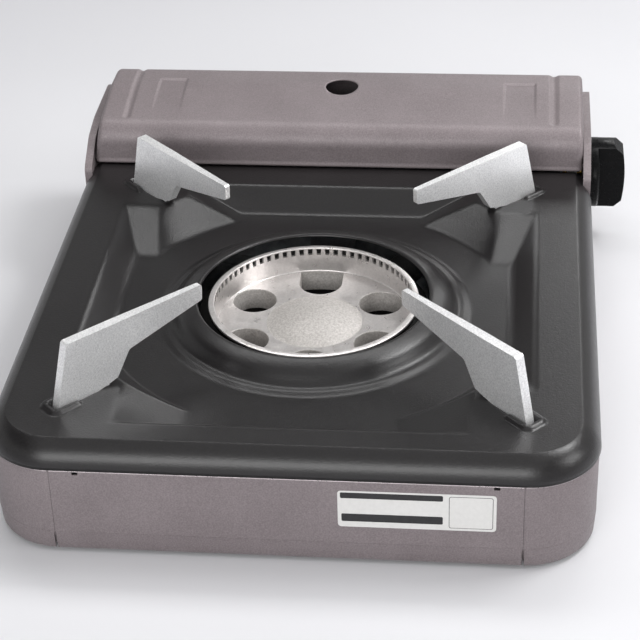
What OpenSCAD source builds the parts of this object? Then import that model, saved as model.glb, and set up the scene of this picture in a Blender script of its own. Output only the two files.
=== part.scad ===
// Butane cassette stove: pressed-steel housing with a lift-off top plate, an inner-flame
// burner on the left, a cartridge compartment under a hinged cover on the right, and a
// rotary control with piezo ignition on the front. +X points to the cartridge side,
// -Y to the front, +Z up; the origin is the middle of the footprint on the table.

/* [Housing] */
// Overall width, from the burner end to the cartridge cover
body_w = 340; // [336:1:360]
// Depth of the housing, without the knob
body_d = 275; // [272:1:290]
// Clearance under the walls' lower edge
wall_lift = 3; // [2:0.5:5]
// Height of the side walls
wall_h = 43.4; // [43:0.2:46]
// Height of the crease where the walls begin to lean in, above their lower edge
crease_h = 9; // [6:0.5:12]
// How far the walls lean in below the crease
wall_lean = 3.2; // [2:0.2:4]
// Plan radius of the housing's corners on the burner side
corner_r = 33; // [28:1:36]
// Plan radius of the housing's corners on the cartridge side
rear_corner_r = 4; // [4:0.5:6]
// Thickness of the painted sheet
sheet = 0.8; // [0.6:0.1:1]
// Width of the flange folded in along the top of the walls
flange_w = 6; // [4:0.5:7]
// Half the length of the end panel between its two seams
seam_y = 104.5; // [95:0.5:105]

/* [Top plate] */
// Height of the plate's rim above the walls
rim_h = 11.9; // [11:0.1:14]
// Radius of the plate's rounded shoulder
shoulder_r = 8.5; // [6:0.5:9]
// Depth of the well pressed into the plate
well_depth = 11; // [9:0.5:12]
// Width of the plate's flat rim and shoulder at the burner end and beside the cover
well_edge_x = 21.5; // [18:0.5:24]
// The same on the front and rear sides
well_edge_y = 29.5; // [27:0.5:33]
// Horizontal run of the well's sloping sides
well_run = 11.5; // [8:0.5:13]
// Thickness of the plate
plate_t = 1; // [0.8:0.1:1.2]
// Radius of the opening round the burner
opening_r = 56.8; // [54:0.1:57.4]
// Radius of the shoulder of the raised ring round the opening
ring_shoulder_r = 66.5; // [64:0.5:68]
// Radius of the bead at the foot of the raised ring
ring_bead_r = 73.5; // [72:0.5:76]
// Radial run of the corner pads' conical faces, from the well's floor to the rim
pad_run = 25.8; // [22:0.2:29]
// Distance of the pads' side corners from the corners of the well
pad_side = 34.5; // [30:0.5:38]

/* [Pan supports] */
// Height of the supports' top edge above the plate's rim
support_rise = 31; // [28:0.5:34]
// Thickness of a support at its foot
support_t = 4.8; // [4:0.2:5.6]
// Thickness of a support at its tip
support_tip_t = 2.8; // [2.4:0.2:3.6]
// Radius of the supports' inner tips
tip_r = 66.8; // [62:0.2:72]
// Distance of the supports' outer ends from the cover
support_inset = 20.2; // [18:0.1:22]
// Length of a support's foot
foot_l = 33.2; // [30:0.1:36]
// How far a support's outer end leans in from its foot to its top
support_lean = 8.3; // [6:0.1:12]
// Height of a support at its tip
tip_h = 8.1; // [7:0.1:10]

/* [Burner] */
// Distance of the burner's axis from the middle of the plate, towards the cover
burner_shift = 5.4; // [4:0.1:7]
// Radius of the burner's rim
burner_r = 51.5; // [50.5:0.1:52]
// Width of the rim's flat top
burner_rim_w = 3; // [2.6:0.1:3.4]
// Distance of the burner's rim below the plate's rim
burner_drop = 5; // [3:0.5:7]
// Depth of the bowl's floor below the burner's rim
bowl_depth = 13.5; // [12:0.5:14]
// Number of flame slots
slot_count = 70; // [48:2:76]
// Height of a flame slot
slot_h = 4; // [3:0.2:4.4]
// Width of a flame slot at its top
slot_w = 2.6; // [2:0.1:2.8]
// Radius of the air passages through the bowl
air_r = 10.75; // [9:0.25:11]
// Radius of the circle on which the air passages lie
air_ring_r = 36.6; // [36:0.1:37]
// Radius of the low dome in the middle of the bowl
dome_r = 23; // [20:0.5:24]
// Height of the dome
dome_h = 4; // [3:0.5:5]

/* [Cartridge compartment] */
// Width of the cartridge cover
cover_w = 76.1; // [74:0.1:78]
// Height of the cover's top above the plate's rim
cover_rise = 27.5; // [26:0.5:32]
// Distance of the cover's ends from the inner faces of the housing
cover_end_gap = 3.6; // [3.2:0.2:6]
// Radius of the hole in the cover's top
cover_hole_r = 9; // [7:0.5:10]
// Height of the housing's raised ends beside the cover, above the plate's rim
hump_rise = 16; // [12:0.5:18]
// Radius of the butane cartridge that the compartment holds
cartridge_r = 33.5; // [33:0.5:34]
// Height of the cartridge's axis
cartridge_z = 44; // [43.5:0.5:45]
// Radius of the cover's hinge pins
pin_r = 2; // [1.6:0.1:2.4]
// Distance of the hinge axis from the housing's outer face
hinge_inset = 6; // [5.6:0.1:6.4]

/* [Controls] */
// Radius of the knob
knob_r = 19.25; // [17:0.25:21]
// How far the knob stands out from the dial plate
knob_h = 19; // [16:0.5:22]
// Width of the knob's grip bar
grip_w = 14; // [11:0.5:16]
// Height of the knob's axis
knob_z = 39; // [38:0.5:40]
// Radius of the valve spindle
spindle_r = 4; // [3.5:0.1:4.5]
// Cam lift that strikes the igniter
cam_lift = 5; // [4:0.5:6]
// Angle that the knob turns through from off to ignition
knob_turn = 110; // [90:5:120]

/* [Hidden] */

$fn = 64;

// Clearances
fit = 0.1;            // between seated pieces of one assembly
run = 0.05;           // radial, between turning pieces
rest_gap = 0.2;       // under the lift-off plate's skirt
cover_gap = 0.4;      // round the cover
edge_over = 0.5;      // the plate's edge stands proud of the walls
eps = 0.01;
far = 400;

// Levels
wall_z0 = wall_lift;
wall_z1 = wall_lift + wall_h;
crease_z = wall_lift + crease_h;
pan_z = wall_z0 + sheet;
pan_top = pan_z + sheet;
skirt_z = wall_z1 + rest_gap;
rim_z = skirt_z + rim_h;
floor_z = rim_z - well_depth;
burner_z = rim_z - burner_drop;
bowl_z = burner_z - bowl_depth;
support_z = rim_z + support_rise;
cover_z = rim_z + cover_rise;
hump_z = rim_z + hump_rise;

// Plan
left_x = -body_w / 2;
right_x = body_w / 2;
half_d = body_d / 2;
wall_half = half_d - edge_over;
wall_x0 = left_x + edge_over;
wall_x1 = right_x;
inner_half = wall_half - sheet;
cover_half = inner_half - cover_end_gap;
cover_x = right_x - cover_w;
burner_x = (left_x + cover_x) / 2 + burner_shift;
plate_x1 = cover_x - edge_over;
hump_x = cover_x - 10;
cartridge_x = cover_x + 38.1;
foot_out_r = (cover_x - burner_x - support_inset) * sqrt(2);
foot_in_r = foot_out_r - foot_l;
support_r = foot_out_r - support_lean;
pad_top_r = foot_in_r + 5.3;
pad_foot_r = pad_top_r - pad_run;
dial_t = 0.8;
knob_back = wall_half + dial_t + 0.4;
knob_front = knob_back + knob_h;
plan_shift = (knob_front - half_d) / 2;

// Moves a piece from the housing's own middle to the middle of the whole footprint
module placed() {
    translate([0, plan_shift, 0]) children();
}

// ---- Outline helpers ----

function unit(v) = v / norm(v);
function left_of(v) = [-v[1], v[0]];
function cross2(u, v) = u[0] * v[1] - u[1] * v[0];
function reversed(p) = [for (i = [len(p) - 1:-1:0]) p[i]];

// Points of an arc about c
function arc(c, r, a0, a1, n = 8) =
    [for (i = [0:n]) c + r * [cos(a0 + (a1 - a0) * i / n), sin(a0 + (a1 - a0) * i / n)]];

// A corner a-b-c rounded with radius r
function fillet(a, b, c, r, n = 6) =
    r < eps ? [b] :
    let (
        u = unit(a - b),
        v = unit(c - b),
        half = acos(u * v) / 2,
        centre = b + unit(u + v) * r / sin(half),
        p0 = b + u * r / tan(half) - centre,
        p1 = b + v * r / tan(half) - centre,
        a0 = atan2(p0[1], p0[0]),
        turn = (atan2(p1[1], p1[0]) - a0 + 540) % 360 - 180
    )
    arc(centre, r, a0, a0 + turn, n);

// An open path with its inner corners rounded, one radius for each
function rounded(p, radii, n = 6) =
    concat(
        [p[0]],
        [for (i = [1:len(p) - 2]) each fillet(p[i - 1], p[i], p[i + 1], radii[i - 1], n)],
        [p[len(p) - 1]]
    );

// A closed outline with every corner rounded, one radius for each
function rounded_loop(p, radii, n = 6) =
    let (m = len(p))
    [for (i = [0:m - 1]) each fillet(p[(i + m - 1) % m], p[i], p[(i + 1) % m], radii[i], n)];

// The path that runs a distance t to the left of path p
function beside(p, t) =
    let (m = len(p) - 1)
    [for (i = [0:m])
        let (
            n0 = left_of(unit(p[max(i, 1)] - p[max(i, 1) - 1])),
            n1 = left_of(unit(p[min(i + 1, m)] - p[min(i + 1, m) - 1]))
        )
        p[i] + t * (n0 + n1) / (1 + n0 * n1)];

// The radii that keep bends concentric on the path beside p
function beside_radii(p, radii, t) =
    [for (i = [1:len(p) - 2]) radii[i - 1] - t * sign(cross2(p[i] - p[i - 1], p[i + 1] - p[i]))];

// Section of a folded sheet: its thickness t lies to the left of the path
module folded(p, radii, t) {
    polygon(concat(
        rounded(p, radii),
        reversed(rounded(beside(p, t), beside_radii(p, radii, t)))
    ));
}

// Sweeps a section round a rectangle with rounded corners, x outward and y up
module around(x0, x1, half, r0, r1) {
    for (side = [0, 1]) {
        mirror([0, side, 0]) {
            translate([x0 + r0, half, 0])
                rotate([90, 0, 90])
                    linear_extrude(x1 - r1 - x0 - r0) children();
            translate([x0 + r0, half - r0, 0])
                rotate([0, 0, 90])
                    rotate_extrude(angle = 90) intersection() {
                        translate([r0, 0]) children();
                        translate([0, -far]) square([far, 2 * far]);
                    }
            translate([x1 - r1, half - r1, 0])
                rotate_extrude(angle = 90) intersection() {
                    translate([r1, 0]) children();
                    translate([0, -far]) square([far, 2 * far]);
                }
        }
    }
    translate([x0, r0 - half, 0])
        rotate([90, 0, 180])
            linear_extrude(2 * (half - r0)) children();
    translate([x1, half - r1, 0])
        rotate([90, 0, 0])
            linear_extrude(2 * (half - r1)) children();
}

// Plan of a rectangle whose two left and two right corners have their own radii
module plan(x0, x1, half, r0, r1) {
    translate([x0 + r0, -half]) square([x1 - r1 - x0 - r0, 2 * half]);
    translate([x0, r0 - half]) square([r0 + eps, 2 * (half - r0)]);
    translate([x1 - r1 - eps, r1 - half]) square([r1 + eps, 2 * (half - r1)]);
    for (side = [-1, 1]) {
        translate([x0 + r0, side * (half - r0)]) circle(r0);
        translate([x1 - r1, side * (half - r1)]) circle(r1);
    }
}

// Extrudes an X-Z outline from y0 to y1
module slice(y0, y1) {
    translate([0, y1, 0]) rotate([90, 0, 0]) linear_extrude(y1 - y0) children();
}

// A round bar along Y from y0 to y1
module y_bar(x, z, r, y0, y1) {
    translate([x, y1, z]) rotate([90, 0, 0]) cylinder(r = r, h = y1 - y0);
}

// ---- Housing ----

// Section of the walls, walked upward with the inside on the left
wall_path = [
    [-wall_lean - flange_w, wall_z0],
    [-wall_lean, wall_z0],
    [0, crease_z],
    [0, wall_z1],
    [-flange_w, wall_z1]
];

wall_radii = [1.5, 2, 1.5];
module wall_band() {
    around(wall_x0, wall_x1, wall_half, corner_r, rear_corner_r)
        polygon(concat(
            rounded(wall_path, wall_radii, 4),
            reversed(rounded(beside(wall_path, sheet), beside_radii(wall_path, wall_radii, sheet), 4))
        ));
}

// The stretch of the burner end between the two seams
module end_zone(half) {
    translate([left_x - 1, -half, 0]) cube([corner_r, 2 * half, rim_z]);
}

// The stretch of the cartridge end between the two seams
outer_seam_y = cover_half - 12;
module outer_zone(half) {
    translate([wall_x1 - 2 * flange_w, -half, 0]) cube([3 * flange_w, 2 * half, rim_z]);
}

tab_gap = 2.6;
module end_panel() {
    color([0.53, 0.49, 0.5]) placed() {
        difference() {
            intersection() {
                wall_band();
                end_zone(seam_y - fit);
            }
            for (side = [-1, 1]) {
                translate([wall_x0 - 1, side * (seam_y - 12) - tab_gap / 2, wall_z1 - tab_gap])
                    cube([1 + sheet + eps, tab_gap, tab_gap + 1]);
            }
        }
    }
}

// Outline of the raised end beside the cover, walked from the front foot over the top
hump_path = [
    [hump_x, wall_z1 - 2 * sheet],
    [hump_x, rim_z + 2],
    [hump_x + 17, hump_z - 3],
    [hump_x + 34, hump_z],
    [wall_x1, hump_z],
    [wall_x1, wall_z1 - 2 * sheet]
];
hump_radii = [6, 14, 40, 13];

module hump_solid(inset, depth) {
    shape = beside(hump_path, -inset);
    radii = beside_radii(hump_path, hump_radii, -inset);
    intersection() {
        slice(-wall_half + inset, -wall_half + depth)
            polygon(rounded(shape, radii));
        translate([0, 0, wall_z0])
            linear_extrude(cover_z) plan(wall_x0, wall_x1 - inset, wall_half - inset, corner_r, rear_corner_r - inset);
    }
}

// Raised end: a face with its edge folded in towards the cover
hump_fold = half_d - edge_over - cover_half - cover_gap;
module hump() {
    difference() {
        hump_solid(0, hump_fold);
        hump_solid(sheet, hump_fold + 1);
    }
}

module side_panel() {
    difference() {
        union() {
            difference() {
                wall_band();
                end_zone(seam_y);
                outer_zone(outer_seam_y);
                translate([-far / 2, 0, 0]) cube(far);
                translate([hump_x, -inner_half, wall_z1 - 2 * sheet])
                    cube([wall_x1 - hump_x - rear_corner_r, flange_w + 1, 3 * sheet]);
                translate([wall_x1 - flange_w - 1, -cover_half - 2 * cover_gap, wall_z1 - 2 * sheet])
                    cube([flange_w + 1 - sheet, 40, 3 * sheet]);
            }
            hump();
        }
        for (x = screw_x) {
            translate([x, -screw_y, wall_z0 - 1]) cylinder(r = screw_r + fit, h = 4);
        }
        children();
    }
}

spindle_hole_r = spindle_r + 2;
module front_panel() {
    color([0.53, 0.49, 0.5]) placed()
        side_panel() {
            y_bar(cartridge_x, knob_z, spindle_hole_r, -half_d - 1, -half_d + 5);
        }
}

module rear_panel() {
    color([0.53, 0.49, 0.5]) placed()
        mirror([0, 1, 0]) side_panel();
}

outer_path = [
    [-wall_lean - flange_w, wall_z0],
    [-wall_lean, wall_z0],
    [0, crease_z],
    [0, wall_z1]
];
module outer_panel() {
    color([0.53, 0.49, 0.5]) placed()
        translate([wall_x1, outer_seam_y - fit, 0])
            rotate([90, 0, 0])
                linear_extrude(2 * (outer_seam_y - fit)) folded(outer_path, [wall_radii[0], wall_radii[1]], sheet);
}

// Base pan: a flat floor with an upturned edge, air slots under the burner, pressed ribs
pan_inset = wall_lean + sheet + 0.2;
pan_edge_h = 6;
foot_x = body_w / 2 - 24;
foot_y = body_d / 2 - 26;
foot_stem_r = 3;
screw_r = 1.6;
screw_x = [left_x + 62, burner_x + 20, cover_x - 24, right_x - 40];
screw_y = wall_half - wall_lean - 3.6;
function screw_places() = [for (side = [-1, 1]) for (x = screw_x) [x, side * screw_y]];

module base_pan() {
    x0 = wall_x0 + pan_inset;
    x1 = wall_x1 - pan_inset;
    half = wall_half - pan_inset;
    r0 = corner_r - pan_inset;
    r1 = 6;
    color([0.62, 0.63, 0.64]) placed() {
        difference() {
            union() {
                around(x0, x1, half, r0, r1)
                    folded([[-r1 + 1, pan_z], [0, pan_z], [0, pan_z + pan_edge_h]], [1], sheet);
                translate([0, 0, pan_z])
                    linear_extrude(sheet) plan(x0 + 4, x1 - 4, half - 4, r0 - 4, r1 - 4);
                for (side = [-1, 1]) {
                    translate([burner_x, side * 92, pan_z]) pan_rib(140);
                }
            }
            for (a = [0:45:315]) {
                translate([burner_x, 0, pan_z - 1])
                    rotate([0, 0, a])
                        linear_extrude(4) air_slot();
            }
            for (sx = [-1, 1], sy = [-1, 1]) {
                translate([sx * foot_x, sy * foot_y, pan_z - 1]) cylinder(r = foot_stem_r + fit, h = 4);
            }
            for (p = screw_places()) {
                translate([p[0], p[1], pan_z - 1]) cylinder(r = screw_r + fit, h = 4);
            }
        }
    }
}

// A rib pressed up out of the pan
module pan_rib(length) {
    rib_r = 5;
    rib_h = 1.8;
    translate([-length / 2, 0, sheet - eps])
        rotate([90, 0, 90])
            linear_extrude(length) polygon([[-rib_r, 0], [rib_r, 0], [rib_r - rib_h, rib_h], [rib_h - rib_r, rib_h]]);
}

module air_slot() {
    translate([22, -3]) square([26, 6]);
    translate([22, 0]) circle(3);
    translate([48, 0]) circle(3);
}

module feet() {
    foot_r = 9;
    color([0.12, 0.12, 0.12]) placed() {
        for (sx = [-1, 1], sy = [-1, 1]) {
            translate([sx * foot_x, sy * foot_y, 0]) {
                rotate_extrude() polygon([
                    [0, 0], [foot_r - 1, 0], [foot_r, 1], [foot_r, pan_z - fit / 2],
                    [foot_stem_r, pan_z - fit / 2], [foot_stem_r, pan_top + fit],
                    [foot_stem_r + 1.4, pan_top + fit], [foot_stem_r - 0.6, pan_top + 3], [0, pan_top + 3]
                ]);
            }
        }
    }
}

module body_screws() {
    color([0.7, 0.7, 0.7]) placed() {
        for (p = screw_places()) {
            translate([p[0], p[1], 0])
                rotate_extrude() polygon([
                    [0, wall_z0 - 1.8], [2.2, wall_z0 - 1.8], [3, wall_z0 - 0.9], [3, wall_z0 - eps],
                    [screw_r, wall_z0 - eps], [screw_r, pan_top + 4], [0, pan_top + 5]
                ]);
        }
    }
}

// ---- Top plate ----

// Solid under the plate's skin: inset 0 gives its outer and plate_t its inner form
lip_h = 5;
module plate_slab(inset) {
    r = shoulder_r;
    around(left_x, plate_x1 + 20, half_d, corner_r, 10)
        polygon(concat(
            [[-r, skirt_z - eps], [-inset, skirt_z - eps]],
            arc([-r, rim_z - r], r - inset, 0, 90),
            [[-r, rim_z - inset]]
        ));
    translate([0, 0, floor_z - plate_t - eps])
        linear_extrude(well_depth + plate_t + eps - inset)
            plan(left_x + r, plate_x1 + 20 - r, half_d - r, corner_r - r, 10 - r);
}

// Space above the well's floor, with the skin's thickness taken off by drop
well_x0 = left_x + well_edge_x;
well_x1 = plate_x1 + edge_over - well_edge_x;
well_y = half_d - well_edge_y;
module well_void(drop) {
    over = 4;
    spread = over * well_run / well_depth;
    low = [well_x0 + well_run, well_x1 - well_run, well_y - well_run, floor_z - drop];
    high = [well_x0 - spread, well_x1 + spread, well_y + spread, rim_z - drop + over];
    polyhedron(
        points = [for (l = [low, high]) each
            [[l[0], -l[2], l[3]], [l[1], -l[2], l[3]], [l[1], l[2], l[3]], [l[0], l[2], l[3]]]],
        faces = [[0, 1, 2, 3], [7, 6, 5, 4], [4, 5, 1, 0], [5, 6, 2, 1], [6, 7, 3, 2], [7, 4, 0, 3]]
    );
}

// Everything above a plane that falls away from the rim's level at point p, towards
// the direction angle, by the well's depth over the given run
module above_ramp(p, angle, run_length, drop) {
    slope = atan(well_depth / run_length);
    translate([p[0], p[1], rim_z - drop])
        rotate([0, 0, angle])
            rotate([0, slope, 0])
                translate([-30, -60, 0]) cube([120, 120, 60]);
}

// A corner pad, which rises from the well's floor to the rim: a conical face towards
// the burner and a ramp on either side
pad_corner = [well_y, well_y - pad_side];
pad_ramp_run = 37;
module corner_pad(drop) {
    low_z = floor_z - drop - 3;
    crease = pad_top_r * [cos(44), sin(44)];
    ramp_angle = atan2(crease[1] - pad_corner[1], crease[0] - pad_corner[0]) + 90;
    reach = pad_top_r + 2 * well_run;
    rise = (pad_top_r - pad_foot_r) / well_depth;
    difference() {
        translate([30, 30, low_z]) cube([reach, reach, rim_z - drop - low_z]);
        translate([0, 0, low_z])
            cylinder(
                r1 = pad_foot_r - (floor_z - drop - low_z) * rise,
                r2 = pad_top_r + rise,
                h = rim_z - drop - low_z + 1,
                $fn = 128
            );
        above_ramp(crease, ramp_angle, pad_ramp_run, drop);
        mirror([1, -1, 0]) above_ramp(crease, ramp_angle, pad_ramp_run, drop);
    }
}

// Raised ring round the opening, as a solid of revolution down to the floor
lip_drop = 1.7;
module ring_solid(drop) {
    lip_z = rim_z - lip_drop;
    low_z = floor_z - drop - 2;
    rotate_extrude($fn = 128)
        polygon(concat(
            [[opening_r - 4, low_z], [opening_r - 4, lip_z - drop]],
            [[opening_r, lip_z - drop]],
            rounded(
                [
                    [opening_r + 1.2, lip_z - drop],
                    [ring_shoulder_r, lip_z - 3 - drop],
                    [ring_bead_r - 2.4, floor_z + 1.3 - drop],
                    [ring_bead_r + 0.4, floor_z + 1.3 - drop],
                    [ring_bead_r + 2.6, floor_z - drop]
                ],
                [5, 1.2, 1.4], 5
            ),
            [[ring_bead_r + 2.6, low_z]]
        ));
}

// Arc of the supports' feet and the troughs that they stand in
foot_arc_r = 105;
foot_arc_at = foot_out_r - 1.8;
foot_low_z = rim_z - 2.3;
trough_end_r = foot_out_r + 1;
trough_half = support_t / 2 + 0.6;
module trough_void(grow) {
    intersection() {
        translate([foot_arc_at, trough_half + grow, foot_low_z + foot_arc_r])
            rotate([90, 0, 0]) cylinder(r = foot_arc_r + fit + grow, h = 2 * (trough_half + grow), $fn = 128);
        translate([foot_in_r - 10, -10, foot_low_z - 4])
            cube([trough_end_r + grow - foot_in_r + 10, 20, 12]);
    }
}

// Half-round bead pressed up round the outer end of a trough
module trough_bead() {
    bead_r = 1.9;
    bend_r = bead_r + 0.1;
    start_r = foot_out_r - 9;
    half = trough_half + bead_r;
    end_r = trough_end_r + bead_r;
    translate([0, 0, rim_z - 0.6]) {
        for (side = [-1, 1]) {
            translate([start_r, side * half, 0])
                rotate([0, 90, 0]) cylinder(r = bead_r, h = end_r - bend_r - start_r, $fn = 24);
            translate([start_r, side * half, 0]) sphere(bead_r, $fn = 24);
            translate([end_r - bend_r, side * (half - bend_r), 0])
                rotate([0, 0, side > 0 ? 0 : -90])
                    rotate_extrude(angle = 90) translate([bend_r, 0]) circle(bead_r, $fn = 24);
        }
        translate([end_r, half - bend_r, 0])
            rotate([90, 0, 0]) cylinder(r = bead_r, h = 2 * (half - bend_r), $fn = 24);
    }
}

support_angles = [225, 315, 135, 45];

module plate_form(inset) {
    translate([burner_x, 0, 0]) ring_solid(inset);
    difference() {
        plate_slab(inset);
        difference() {
            well_void(inset);
            translate([burner_x, 0, 0])
                for (mx = [0, 1], my = [0, 1]) {
                    mirror([mx, 0, 0]) mirror([0, my, 0]) corner_pad(inset);
                }
        }
        for (a = support_angles) {
            translate([burner_x, 0, 0]) rotate([0, 0, a]) trough_void(inset);
        }
    }
}

tang_r = [foot_in_r + 7.5, foot_out_r - 6.8];
tang_l = 6;
tang_t = 3.2;
module top_plate() {
    color([0.27, 0.27, 0.28]) placed() {
        difference() {
            union() {
                difference() {
                    plate_form(0);
                    plate_form(plate_t);
                }
                translate([plate_x1 - plate_t, -cover_half + fit, rim_z - lip_h])
                    cube([plate_t, 2 * (cover_half - fit), lip_h - plate_t / 2]);
                translate([burner_x, 0, 0])
                    for (a = support_angles) {
                        rotate([0, 0, a])
                            difference() {
                                trough_bead();
                                translate([0, 0, rim_z - 10 - plate_t]) cube([far, far, 20], center = true);
                            }
                    }
            }
            translate([burner_x, 0, 0]) {
                cylinder(r = opening_r, h = far);
                for (a = support_angles, r = tang_r) {
                    rotate([0, 0, a])
                        translate([r - tang_l / 2 - fit, -tang_t / 2 - fit, foot_low_z - 4])
                            cube([tang_l + 2 * fit, tang_t + 2 * fit, 10]);
                }
            }
            translate([plate_x1, -far / 2, 0]) cube(far);
            for (side = [-1, 1]) {
                translate([hump_x - edge_over, side * (cover_half - fit + 10) - 10, 0])
                    cube([cover_x, 20, far]);
            }
        }
    }
}

// ---- Pan supports ----

// Height of the foot's curved bottom at a radius
function foot_z(r) = foot_low_z + foot_arc_r - sqrt(pow(foot_arc_r, 2) - pow(foot_arc_at - r, 2));

// Outline of a support in its own plane, radius across and height up
module support_outline() {
    top_path = [
        [foot_out_r, foot_z(foot_out_r)],
        [support_r, support_z],
        [tip_r, support_z],
        [tip_r + 0.3, support_z - tip_h],
        [foot_in_r - 7.6, support_z - 16.6],
        [foot_in_r, foot_z(foot_in_r)]
    ];
    polygon(concat(
        rounded(top_path, [1.5, 1.2, 1.2, 3]),
        [for (i = [1:6]) let (r = foot_in_r + (foot_out_r - foot_in_r) * i / 7) [r, foot_z(r)]]
    ));
}

// Plan of a support, which thins from its foot to its tip
module support_plan() {
    half = support_t / 2;
    tip_half = support_tip_t / 2;
    polygon([
        [tip_r, -tip_half], [foot_in_r, -half], [foot_out_r + 1, -half],
        [foot_out_r + 1, half], [foot_in_r, half], [tip_r, tip_half]
    ]);
}

module pan_support(angle) {
    color([0.8, 0.8, 0.8]) placed()
        translate([burner_x, 0, 0]) rotate([0, 0, angle]) {
            intersection() {
                translate([0, support_t / 2, 0]) rotate([90, 0, 0]) linear_extrude(support_t) support_outline();
                linear_extrude(far) support_plan();
            }
            for (r = tang_r) {
                translate([r - tang_l / 2, -tang_t / 2, foot_low_z - plate_t - 1.5])
                    cube([tang_l, tang_t, 6]);
            }
        }
}

module support_front_left() { pan_support(225); }
module support_front_right() { pan_support(315); }
module support_rear_left() { pan_support(135); }
module support_rear_right() { pan_support(45); }

// ---- Burner ----

base_r = 57;
base_t = 1.3;
base_z = burner_z - 29.5;
chamber_z = burner_z - 20.5;
tube_r = 7;
tube_t = 1.5;
slot_r = burner_r - burner_rim_w;
ring_t = 1.2;
wall_out_r = burner_r - 0.2;
wall_in_r = wall_out_r - 1.1;
air_angles = [for (k = [0:5]) 60 * k + 0.5];
mix_angle = atan2(-106, cartridge_x - burner_x);
valve_y = -106;
mix_mouth_r = 146;
stand_r = base_r + 5;
stand_ring_r = air_ring_r + air_r + 1.6;

// Lower half of the gas chamber: a shallow cup that necks in to the flame ring
module burner_base() {
    neck_z = burner_z - 3.6;
    color([0.42, 0.41, 0.4]) placed() {
        translate([burner_x, 0, 0]) {
            difference() {
                rotate_extrude($fn = 128)
                    polygon([
                        [0, base_z], [base_r, base_z], [base_r, chamber_z + 13], [wall_out_r, neck_z],
                        [wall_out_r, burner_z - 1.2], [wall_in_r, burner_z - 1.2], [wall_in_r, neck_z - 0.6],
                        [base_r - base_t, chamber_z + 12.5], [base_r - base_t, base_z + base_t], [0, base_z + base_t]
                    ]);
                for (a = air_angles) {
                    rotate([0, 0, a]) translate([air_ring_r, 0, base_z - 1])
                        cylinder(r = air_r + 1 + fit, h = base_t + 2);
                }
                rotate([0, 0, mix_angle]) translate([base_r - 6, 0, chamber_z])
                    rotate([0, 90, 0]) cylinder(r = tube_r + tube_t + run, h = 20);
            }
            rotate([0, 0, mix_angle]) difference() {
                translate([base_r - 1, 0, chamber_z])
                    rotate([0, 90, 0]) difference() {
                        cylinder(r = tube_r + tube_t + 2, h = 7);
                        translate([0, 0, -1]) cylinder(r = tube_r + tube_t + run, h = 9);
                    }
                translate([base_r - 10, -20, base_z + fit - 20]) cube([40, 40, 20]);
            }
        }
    }
}

// Mixing tube: throat, air ports and bell mouth facing the jet
module mixing_tube() {
    start_r = base_r - 4;
    length = mix_mouth_r - start_r;
    color([0.72, 0.72, 0.73]) placed() {
        translate([burner_x, 0, chamber_z]) rotate([0, 0, mix_angle]) translate([start_r, 0, 0]) rotate([0, 90, 0])
            difference() {
                rotate_extrude() polygon(concat(
                    [[tube_r, 0], [tube_r + tube_t, 0], [tube_r + tube_t, length - 30]],
                    [[tube_r + tube_t - 1.2, length - 22], [tube_r + tube_t - 1.2, length - 12]],
                    [[10, length - 1.5], [10, length], [8.8, length]],
                    [[tube_r - 1.4, length - 11], [tube_r - 1.4, length - 22]],
                    [[tube_r, length - 31]]
                ));
                for (a = [0:90:270]) {
                    rotate([0, 0, a]) translate([tube_r - 4, -2.5, length - 9]) cube([10, 5, 5]);
                }
            }
    }
}

// Bowl: floor with a dome, six air passages and a flared wall
module burner_bowl() {
    t = 1.2;
    wall_z = burner_z - 6.6;
    floor_r = slot_r - 2.4;
    dome_ball_r = (pow(dome_r, 2) + pow(dome_h, 2)) / (2 * dome_h);
    color([0.79, 0.78, 0.76]) placed() {
        translate([burner_x, 0, 0]) difference() {
            union() {
                rotate_extrude($fn = 128)
                    polygon(concat(
                        [[0, bowl_z - t]],
                        [[floor_r + t + 0.8, bowl_z - t], [slot_r + ring_t, wall_z], [slot_r, wall_z]],
                        [[floor_r, bowl_z]],
                        arc([0, bowl_z + dome_h - dome_ball_r], dome_ball_r, 90 - asin(dome_r / dome_ball_r), 90, 10)
                    ));
                for (a = air_angles) {
                    rotate([0, 0, a]) translate([air_ring_r, 0, base_z - 0.4])
                        cylinder(r = air_r + 1, h = bowl_z - base_z);
                }
            }
            for (a = air_angles) {
                rotate([0, 0, a]) translate([air_ring_r, 0, base_z - 1])
                    cylinder(r = air_r, h = burner_z - base_z - 6.4);
            }
        }
    }
}

// Flame ring: a slotted band with a flat rim folded over the base's neck
module flame_ring() {
    low_z = burner_z - 6.5;
    color([0.82, 0.81, 0.79]) placed() {
        translate([burner_x, 0, 0]) difference() {
            rotate_extrude($fn = 128) polygon([
                [slot_r, low_z], [slot_r + ring_t, low_z], [slot_r + ring_t, burner_z - 1.1],
                [burner_r, burner_z - 1.1], [burner_r, burner_z - 0.4], [burner_r - 0.4, burner_z],
                [slot_r + 0.4, burner_z], [slot_r, burner_z - 0.4]
            ]);
            for (k = [0:slot_count - 1]) {
                rotate([0, 0, 360 * k / slot_count])
                    translate([slot_r - 1, 0, 0]) rotate([90, 0, 90])
                        linear_extrude(ring_t + 1.6) polygon([
                            [-slot_w / 2, burner_z - 1.5], [slot_w / 2, burner_z - 1.5],
                            [slot_w / 2 - 0.5, burner_z - 1.5 - slot_h], [0.5 - slot_w / 2, burner_z - 1.5 - slot_h]
                        ]);
            }
        }
    }
}

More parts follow.
